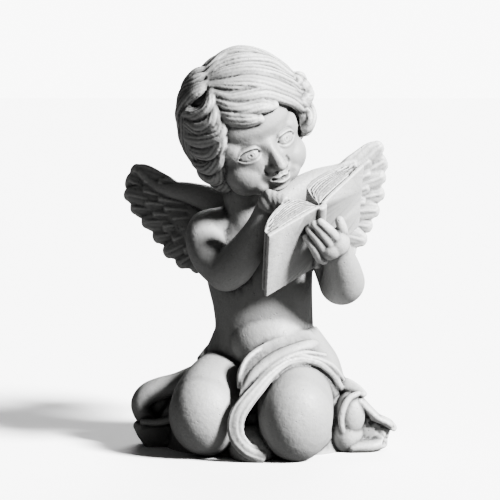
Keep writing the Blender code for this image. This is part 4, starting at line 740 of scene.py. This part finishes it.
# Cloth: a length of cloth laid over the lap and the left hip and gathered round the back, its
# rolled hem falling past the knee and its two ends trailing on the floor. It is cast solid, so it
# is modelled as the surface of a mass, with no underside.
HEM = 1.9                 # half thickness of the rolled hem


def drape_folds(angle, t):
    """Folds of the cloth behind: waves round the hips, deeper towards the floor and the back."""
    back = np.clip(-np.sin(angle) + 0.35, 0, 1)
    low = np.clip(1.25 - t * 1.35, 0, 1)
    waves = 0.045 * np.sin(11 * angle + 2.4 * t) + 0.03 * np.sin(19 * angle - 3 * t + 1)
    return 1 + back * low * waves


def creased(angle, t):
    """Ribs along a band of cloth, which wander round it."""
    return 1 + 0.09 * np.cos(7 * angle + 5 * np.sin(4 * t)) + 0.04 * np.cos(12 * angle - 3 * t)


def pleats(angle, t):
    """Long soft folds down a mound of cloth, deepest at the floor."""
    folds = 0.055 * np.cos(9 * angle + 0.9 * np.sin(5 * t)) + 0.03 * np.cos(15 * angle + 3 * t)
    return 1 + (0.3 + 0.7 * t) * folds


def cloth(c):
    """The cloth laid over the left hip and lap, and its trailing ends on the floor."""
    front = (0, -1, 0)
    c.ball((16.0, 8, 26), (12.0, 15, 14.5))
    c.ball((16.5, 2, 29), (10.0, 12, 11.0))
    c.ball((24.5, 6, 15), (8.5, 13, 13))
    c.sheet([
        [(14, 21, 41), (18.6, 12, 43.2), (18.0, 4.5, 44.0), (15.2, -5.0, 43.6), (8.3, -11.5, 42.9),
         (1.0, -14.2, 40.8), (-3.3, -15.8, 38.4), (-6.9, -18, 34.5)],
        [(16, 22, 36), (22.0, 12, 38.2), (21.8, 0.5, 39.6), (18.4, -8.4, 40.0), (12.5, -14.5, 39.0),
         (4.6, -18.4, 35.8), (-2.6, -22, 30.8), (-7.6, -24.8, 24.5)],
        [(19, 22, 29), (26.0, 11, 32.0), (25.6, -4.0, 34.2), (21.3, -11.6, 36.0), (13.7, -16.5, 36.4),
         (5.6, -19.8, 33.6), (-1.6, -23.8, 28.2), (-7.7, -26.5, 22.5)],
        [(22, 20, 20), (28.6, 9, 23), (28.0, -7.5, 27.5), (23.4, -14.5, 33.2), (14.3, -19.0, 36.4),
         (5.8, -22.5, 33.8), (-1.9, -26.5, 27.6), (-8.0, -28.0, 21.5)]], 1.7)
    # the lining between the hem and the knee, then the hem
    c.tube([(25.0, 8, 18), (25.4, 1, 20), (24.4, -4.5, 23.5), (21.6, -9.0, 28.0), (17.0, -13.0, 31.6),
            (11.0, -16.0, 32.4)], [3.6, 3.6, 3.6, 3.6, 3.4, 3.0], up=front)
    c.tube([(27.5, 8, 21), (28.6, 0, 22.5), (28.0, -6.4, 25), (25.6, -11, 29.8), (20.8, -15.6, 34.4),
            (14.3, -18.0, 36.2), (8.5, -20.6, 35.2), (3.2, -23.8, 31.8), (-1.4, -26.6, 27.2),
            (-5.8, -28.4, 22.4), (-8.8, -29, 17.8), (-9.6, -28.8, 13), (-8.4, -28.2, 8.6),
            (-5, -27, 4.6), (0, -25.5, 2.0)],
           HEM * np.array([.7, .8, .75, .7, .7, .7, .8, 1.0, 1.25, 1.45, 1.55, 1.55, 1.5, 1.4, 1.3]),
           HEM * np.array([.8, .8, .75, .7, .7, .7, .75, .8, .8, .8, .8, .8, .8, .8, .8]),
           up=front, n=90, around=48, shape=creased)
    # the broad fold above it, the small leaf beside it and the turned upper edge
    c.tube([(21.5, -0.5, 38.6), (18, -9.2, 39.8), (12.5, -15, 38.8), (4.6, -18.9, 35.6),
            (-2.6, -22.4, 30.7), (-7.4, -25.2, 24.6)], [1.6, 2.4, 2.9, 3.3, 2.7, 1.0],
           [1.2, 2.4, 3.1, 3.3, 2.9, 1.2], up=(0, -0.8, 0.6))
    c.tube([(22.5, -11.6, 36.6), (14, -16.6, 37.6), (5.6, -20.4, 34.4), (-1.8, -24.4, 28.4),
            (-7.6, -27.2, 22.2)], [0.8, 1.2, 1.4, 1.2, 0.7], [1.4, 2.3, 2.7, 2.4, 1.2],
           up=(0, -0.8, 0.6))
    c.tube([(1.5, -14.6, 40.2), (-2.4, -16.4, 38.6), (-5.9, -18.4, 35.6), (-7.9, -20.4, 31.4),
            (-8.3, -22.3, 27.0)], [0.9, 1.2, 1.3, 1.2, 0.8], [1.4, 2.2, 2.4, 2.2, 1.2],
           up=(0, -1, 0.3))
    c.tube([(17.2, 4, 44.0), (14.2, -6.3, 43.6), (7.5, -12.0, 42.6), (1.5, -14.8, 40.6)],
           [1.3, 1.8, 1.9, 1.4], up=(0, -0.8, 0.6))
    c.ball((-3.5, -15, 4), (9, 12.5, 8))
    # the end that trails at the left, broken off rough
    c.tube([(24, 4, 23.5), (30, -1.5, 24.4), (34.0, -5, 23.4), (37.0, -7.5, 21.9)],
           [4.0, 3.2, 2.4, 1.5], [3.0, 2.4, 1.8, 1.2], up=(0, -0.5, 0.8))
    c.ball((32.4, -4.5, 14.6), (5.6, 6.0, 8.2))
    c.ball((31.0, -2, 6.5), (6.4, 7.5, 7.5))
    c.tube([(30.5, -7.6, 6.0), (28.9, -9.4, 11.5), (29.5, -10, 16.5), (31.7, -9.2, 20.6),
            (35.2, -8.0, 22.2)], [1.1, 1.2, 1.2, 1.2, 1.0], up=front)
    c.tube([(35.6, -5.6, 19.4), (38.4, -5.0, 16.4), (42.0, -4.5, 13.0), (46.4, -3.8, 10.6),
            (48.0, -2, 9.0)], [1.8, 1.7, 1.6, 1.6, 1.4], [3.0, 3.0, 3.0, 3.0, 2.6], up=front)
    c.tube([(33, -4.5, 2.2), (40, -4.0, 2.2), (44.4, -2.5, 3.2)], [2.6, 2.4, 2.2], [4, 3.6, 3],
           up=front)
    # the end at the right: a low block with a rolled fold arched over it
    c.tube([(-24, 8, 26.5), (-31.5, 8, 23.2), (-37.6, 8.5, 21.5), (-42.4, 9, 19.3), (-45.0, 9.5, 16.0),
            (-44.6, 10, 12.2), (-42.5, 10, 9.0)], [4.0, 4.1, 4.1, 4.1, 3.7, 3.4, 3.0],
           [6, 6, 6, 5.5, 5, 4.5, 4], up=front)
    c.ball((-35.5, 17, 14), (10, 6, 8.5))
    c.tube([(-31, 4, 20), (-31.6, 4.0, 14), (-34, 4, 10.6), (-39.0, 4.5, 9.4), (-44, 5.5, 9.4)],
           [1.4, 1.5, 1.5, 1.4, 1.2], [2.4, 2.4, 2.4, 2.2, 2.0], up=front)
    # the pleats that spread over the shins on both sides
    c.tube([(18, 9, 30), (22.5, 11, 19), (27, 13, 8), (29, 13, 0)], [8, 10.5, 14, 15.5],
           [9, 11, 14, 15], up=front, around=96, n=40, ends=(0.6, 0.1), shape=pleats)
    c.tube([(-17, 13, 29), (-22, 14, 18), (-27, 16, 8), (-28.5, 16, 0)], [7, 9.5, 13, 14.5],
           [8, 10, 12.5, 14], up=front, around=96, n=40, ends=(0.6, 0.1), shape=pleats)
    # round the hips and down to the floor behind, with a turned waist edge
    c.tube([(-1, 10, 0), (-1, 10, 7), (-0.5, 10.5, 16), (0, 10.5, 26), (0.5, 9, 36),
            (0.8, 7.5, 41.5)], [35, 33, 29.5, 25.5, 20.8, 18.8], [27, 26, 23.5, 21, 17.5, 15.0],
           up=front, around=96, n=40, ends=(0.1, 0.1), shape=drape_folds)
    c.tube([(19.6, 4, 43.2), (17.0, 13, 43.0), (10, 21, 42.2), (0, 24, 41.2), (-10, 21.5, 39.4),
            (-18, 14, 37.0), (-22.6, 5, 33.0)], 1.5, 1.4, around=12, n=60)


def tear(co):
    """Dents the broken right-hand end of the cloth: small bells in from the outside."""
    rng = np.random.default_rng(4)
    for i in range(200):
        x = rng.uniform(39, 50)
        centre = np.array([x, rng.uniform(-6, 12), rng.uniform(1, 21 - 0.9 * (x - 36))])
        push = unit(np.array([30.0, 4, 8]) - centre)
        size = rng.uniform(0.4, 0.95)
        score(co, [centre, centre + rng.uniform(-2.5, 2.5, 3)], size, 0.75 * size, push, n=6)


# One casting: every shell is fused into one closed skin, the fine lines are cut into it, and the
# skin is thinned where it is plain. The underside is cut flat, where the mould was filled.
FACES = 196000            # triangles of the finished skin
FINE_FACES = 60000        # of which on the face and the hands
FINE_GROOVE = 0.07        # depths that count as full hollows, over the short and the long reach
BROAD_GROOVE = 0.35
FINE_STEPS = 4            # rounds of averaging that give the two reaches
BROAD_STEPS = 40


def largest(obj):
    """Keeps the outer skin and drops any closed pocket inside it."""
    count = len(obj.data.vertices)
    ends = np.empty(len(obj.data.edges) * 2, np.int64)
    obj.data.edges.foreach_get("vertices", ends)
    a, b = ends.reshape(-1, 2).T
    mark = np.arange(count)
    while True:
        low = np.minimum(mark[a], mark[b])
        old = mark.copy()
        np.minimum.at(mark, a, low)
        np.minimum.at(mark, b, low)
        mark = mark[mark]
        if (mark == old).all():
            break
    names, sizes = np.unique(mark, return_counts=True)
    keep = mark == names[sizes.argmax()]
    index = np.cumsum(keep) - 1
    co = coords(obj)[keep] * SHARE
    faces = [[int(index[v]) for v in p.vertices] for p in obj.data.polygons if keep[p.vertices[0]]]
    mesh = bpy.data.meshes.new(obj.name)
    mesh.from_pydata(co.tolist(), [], faces)
    mesh.update()
    obj.data = mesh
    return obj


def fine_parts(co):
    """The points of the face and of the two hands."""
    local = (co - HEAD) @ HEAD_TURN
    fine = np.linalg.norm((local - (0, -19, -8)) / (14, 8, 16), axis=1) < 1
    for centre, radius in (((20, -32, 82.5), 10), ((6, -27, 96), 7)):
        fine |= np.linalg.norm(co - centre, axis=1) < radius
    return fine


def thin_out(obj, chosen, faces):
    """Merges facets among the chosen points until the whole object has this many."""
    group = obj.vertex_groups.new(name="chosen")
    group.add(np.nonzero(chosen)[0].tolist(), 1.0, "REPLACE")
    m = obj.modifiers.new("thin", "DECIMATE")
    m.ratio = faces / sum(len(p.vertices) - 2 for p in obj.data.polygons)
    m.vertex_group = "chosen"
    m.vertex_group_factor = 1.0
    m.use_collapse_triangulate = True
    settle(obj)
    obj.vertex_groups.clear()


def hollows(obj, normal):
    """How hollow the skin is, 0 on sharp ridges to 1 in deep grooves: the distance along the
    normal that each point moves when the skin is averaged with its neighbours, over a short
    reach and over a long one."""
    ends = np.empty(len(obj.data.edges) * 2, np.int64)
    obj.data.edges.foreach_get("vertices", ends)
    a, b = ends.reshape(-1, 2).T
    own = coords(obj)
    count = len(own)
    near = np.bincount(a, minlength=count) + np.bincount(b, minlength=count)
    p = own.copy()
    value = np.full(count, 0.5)
    for step in range(1, BROAD_STEPS + 1):
        total = [np.bincount(a, p[b, k], count) + np.bincount(b, p[a, k], count) for k in range(3)]
        p = 0.5 * p + 0.5 * np.stack(total, 1) / near[:, None]
        if step in (FINE_STEPS, BROAD_STEPS):
            rise = ((p - own) * normal).sum(1)
            full = FINE_GROOVE if step == FINE_STEPS else BROAD_GROOVE
            value += 0.25 * np.clip(rise / full, -1, 1)
    return value


clay = Clay()
clay.take(body())
hair(clay)
book(clay)
hands(clay)
wings(clay)
cloth(clay)
feet(clay)
figure = largest(fuse(clay.mesh_object("cherub"), GRAIN, 2, 0.5))
cut_face(figure)
co = coords(figure)
cut_pages(co)
tear(co)
set_coords(figure, co)
full = coords(figure)
full_normal = np.empty(full.size, np.float32)
figure.data.vertex_normals.foreach_get("vector", full_normal)
full_normal = full_normal.reshape(-1, 3)
full_hollow = hollows(figure, full_normal)
clear_parts = fine_parts(full)
facets = sum(len(p.vertices) - 2 for p in figure.data.polygons)
inside = sum(len(p.vertices) - 2 for p in figure.data.polygons if clear_parts[p.vertices[0]])
if inside > FINE_FACES:
    thin_out(figure, clear_parts, facets - inside + FINE_FACES)
thin_out(figure, ~fine_parts(coords(figure)), FACES)

bm = bmesh.new()
bm.from_mesh(figure.data)
everything = bm.verts[:] + bm.edges[:] + bm.faces[:]
bmesh.ops.bisect_plane(bm, geom=everything, dist=1e-6, plane_co=(0, 0, 0), plane_no=(0, 0, 1),
                       clear_inner=True)
rim = [e for e in bm.edges if e.is_boundary]
bmesh.ops.triangle_fill(bm, edges=rim, use_beauty=True, normal=(0, 0, -1))
bm.to_mesh(figure.data)
bm.free()

# the thinned skin keeps the shading of the full one: its normals, and its hollows, which set the painted
# shade of the finish
tree = KDTree(len(full))
for i, p in enumerate(full.tolist()):
    tree.insert(p, i)
tree.balance()
co = coords(figure)
nearest = np.array([tree.find(p)[1] for p in co.tolist()])
hollow = figure.data.attributes.new("hollow", "FLOAT", "POINT")
hollow.data.foreach_set("value", full_hollow[nearest].astype(np.float32))
middle = (np.array(cad_low) + np.array(cad_high))[:2] / 2 / SHARE
co[:, :2] += middle - (co[:, :2].min(0) + co[:, :2].max(0)) / 2
set_coords(figure, co)
figure.data.polygons.foreach_set("use_smooth", [True] * len(figure.data.polygons))
figure.data.normals_split_custom_set_from_vertices(full_normal[nearest].tolist())
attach(figure, "root")
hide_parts("cherub_figurine")


# Finish: matt grey cast stone, uneven in tone, with fine pinholes from air bubbles in the mould, a sandy
# grain, and painted shade that keeps the hollows darker than the ridges; the pinholes are painted dark
# as shade too.
# colours of the painted shade in the hollows, of the plain stone and of the ridges
STONE_PAINTED_SHADE = (0.045, 0.045, 0.045, 1)
STONE = (0.24, 0.24, 0.238, 1)
STONE_RIDGE = (0.42, 0.42, 0.415, 1)


def cast_stone():
    """Colour from broad and fine noise and from painted shade, darkest where the surface is most hollow,
    with the pinholes painted dark as shade; bump from a sandy grain and from pinholes, which are small
    cells of a Voronoi pattern kept where noise is high."""
    mat = bpy.data.materials.new("cast_stone_grey")
    mat.use_nodes = True
    nodes = mat.node_tree.nodes
    links = mat.node_tree.links
    shader = nodes["Principled BSDF"]
    place = nodes.new("ShaderNodeTexCoord").outputs["Object"]

    def noise(scale, detail, rough=0.55):
        n = nodes.new("ShaderNodeTexNoise")
        n.inputs["Scale"].default_value = scale
        n.inputs["Detail"].default_value = detail
        n.inputs["Roughness"].default_value = rough
        links.new(place, n.inputs["Vector"])
        return n.outputs["Fac"]

    def ranged(value, low, high, to_low=0.0, to_high=1.0):
        m = nodes.new("ShaderNodeMapRange")
        m.inputs["From Min"].default_value = low
        m.inputs["From Max"].default_value = high
        m.inputs["To Min"].default_value = to_low
        m.inputs["To Max"].default_value = to_high
        links.new(value, m.inputs["Value"])
        return m.outputs["Result"]

    def maths(kind, a, b):
        m = nodes.new("ShaderNodeMath")
        m.operation = kind
        for socket, value in zip(m.inputs, (a, b)):
            if isinstance(value, float):
                socket.default_value = value
            else:
                links.new(value, socket)
        return m.outputs["Value"]

    def mixed(share, a, b):
        m = nodes.new("ShaderNodeMix")
        m.data_type = "RGBA"
        links.new(share, m.inputs["Factor"])
        for socket, value in ((m.inputs["A"], a), (m.inputs["B"], b)):
            if isinstance(value, tuple):
                socket.default_value = value
            else:
                links.new(value, socket)
        return m.outputs["Result"]

    cells = nodes.new("ShaderNodeTexVoronoi")
    cells.inputs["Scale"].default_value = 800.0
    links.new(place, cells.inputs["Vector"])
    pinholes = ranged(cells.outputs["Distance"], 0.06, 0.24, 0.7, 0.0)
    pinholes = maths("MULTIPLY", pinholes, ranged(noise(380.0, 2.0), 0.56, 0.64))
    grain = noise(1400.0, 3.0, 0.6)
    clouds = noise(60.0, 4.0)
    hollow = nodes.new("ShaderNodeAttribute")
    hollow.attribute_name = "hollow"
    # painted shade: 1 on ridges and open faces, 0 in deep hollows, which get the near-black shade colour
    unshaded = ranged(hollow.outputs["Fac"], 0.15, 0.85, 1.0, 0.0)
    tone = maths("ADD", maths("MULTIPLY", unshaded, 0.8), maths("MULTIPLY", clouds, 0.2))
    colour = mixed(ranged(tone, 0.12, 0.82), STONE_PAINTED_SHADE, STONE_RIDGE)
    colour = mixed(ranged(grain, 0.35, 0.65, 0.0, 0.4), colour, STONE)
    # painted shade: the pinhole pits are coloured dark, as shade inside them
    colour = mixed(pinholes, colour, (0.10, 0.10, 0.10, 1))
    links.new(colour, shader.inputs["Base Color"])
    links.new(ranged(grain, 0.3, 0.7, 0.46, 0.66), shader.inputs["Roughness"])
    hammered = noise(420.0, 3.0)
    height = maths("ADD", maths("MULTIPLY", grain, 0.35), maths("MULTIPLY", hammered, 0.9))
    height = maths("SUBTRACT", height, pinholes)
    bump = nodes.new("ShaderNodeBump")
    bump.inputs["Strength"].default_value = 0.6
    bump.inputs["Distance"].default_value = 0.0004
    links.new(height, bump.inputs["Height"])
    links.new(bump.outputs["Normal"], shader.inputs["Normal"])
    return mat


figure.data.materials.clear()
figure.data.materials.append(cast_stone())

# Stage: a pale floor under the figure, one soft key light from the upper right in front, a weak
# one from behind and a weak fill all round, and the camera at the height of the figure's chest,
# looking slightly down.
floor_mesh = bpy.data.meshes.new("floor")
floor_mesh.from_pydata([(-3, -3, 0), (3, -3, 0), (3, 3, 0), (-3, 3, 0)], [], [(0, 1, 2, 3)])
floor = bpy.data.objects.new("floor", floor_mesh)
floor.location.z = cad_low[2]
bpy.context.scene.collection.objects.link(floor)
paper = bpy.data.materials.new("floor_paper")
paper.use_nodes = True
tint = paper.node_tree.nodes.new("ShaderNodeMix")
tint.data_type = "RGBA"
tint.inputs["A"].default_value = (0.12, 0.12, 0.12, 1)
tint.inputs["B"].default_value = (1.0, 1.0, 1.0, 1)
paper.node_tree.links.new(paper.node_tree.nodes.new("ShaderNodeLightPath").outputs["Is Camera Ray"],
                          tint.inputs["Factor"])
paper.node_tree.links.new(tint.outputs["Result"],
                          paper.node_tree.nodes["Principled BSDF"].inputs["Base Color"])
paper.node_tree.nodes["Principled BSDF"].inputs["Roughness"].default_value = 0.9
floor.data.materials.append(paper)

world = bpy.data.worlds.new("studio")
bpy.context.scene.world = world
world.use_nodes = True
world.node_tree.nodes["Background"].inputs["Color"].default_value = (1, 1, 1, 1)
seen = world.node_tree.nodes.new("ShaderNodeLightPath").outputs["Is Camera Ray"]
glow = world.node_tree.nodes.new("ShaderNodeMapRange")
glow.inputs["To Min"].default_value = 0.07
glow.inputs["To Max"].default_value = 3.0
world.node_tree.links.new(seen, glow.inputs["Value"])
world.node_tree.links.new(glow.outputs["Result"],
                          world.node_tree.nodes["Background"].inputs["Strength"])


def sun(name, direction, strength, spread):
    """A far light that shines along direction, from a patch of sky of that many degrees."""
    lamp = bpy.data.lights.new(name, "SUN")
    lamp.energy = strength
    lamp.angle = math.radians(spread)
    obj = bpy.data.objects.new(name, lamp)
    bpy.context.scene.collection.objects.link(obj)
    obj.rotation_mode = "QUATERNION"
    obj.rotation_quaternion = Vector(direction).to_track_quat("-Z", "Y")


sun("key", (-0.72, 0.50, -0.56), 14.0, 12)
sun("back", (-0.15, -0.80, -0.58), 2.0, 40)
bpy.context.scene.view_settings.look = "AgX - High Contrast"

PIXEL = 0.000366          # metres for one pixel of the photograph, at the figure
DISTANCE = 0.9
DOWN = math.radians(6.0)
lens = bpy.data.cameras.new("camera")
camera = bpy.data.objects.new("camera", lens)
bpy.context.scene.collection.objects.link(camera)
bpy.context.scene.camera = camera
lens.sensor_width = 36
lens.lens = 36 * DISTANCE / (500 * PIXEL)
lens.clip_start = 0.01
aim = Vector((-0.0033, 0.0006, 0.074))
forward = Vector((0, math.cos(DOWN), -math.sin(DOWN)))
camera.location = aim - forward * DISTANCE
camera.rotation_mode = "QUATERNION"
camera.rotation_quaternion = forward.to_track_quat("-Z", "Y")
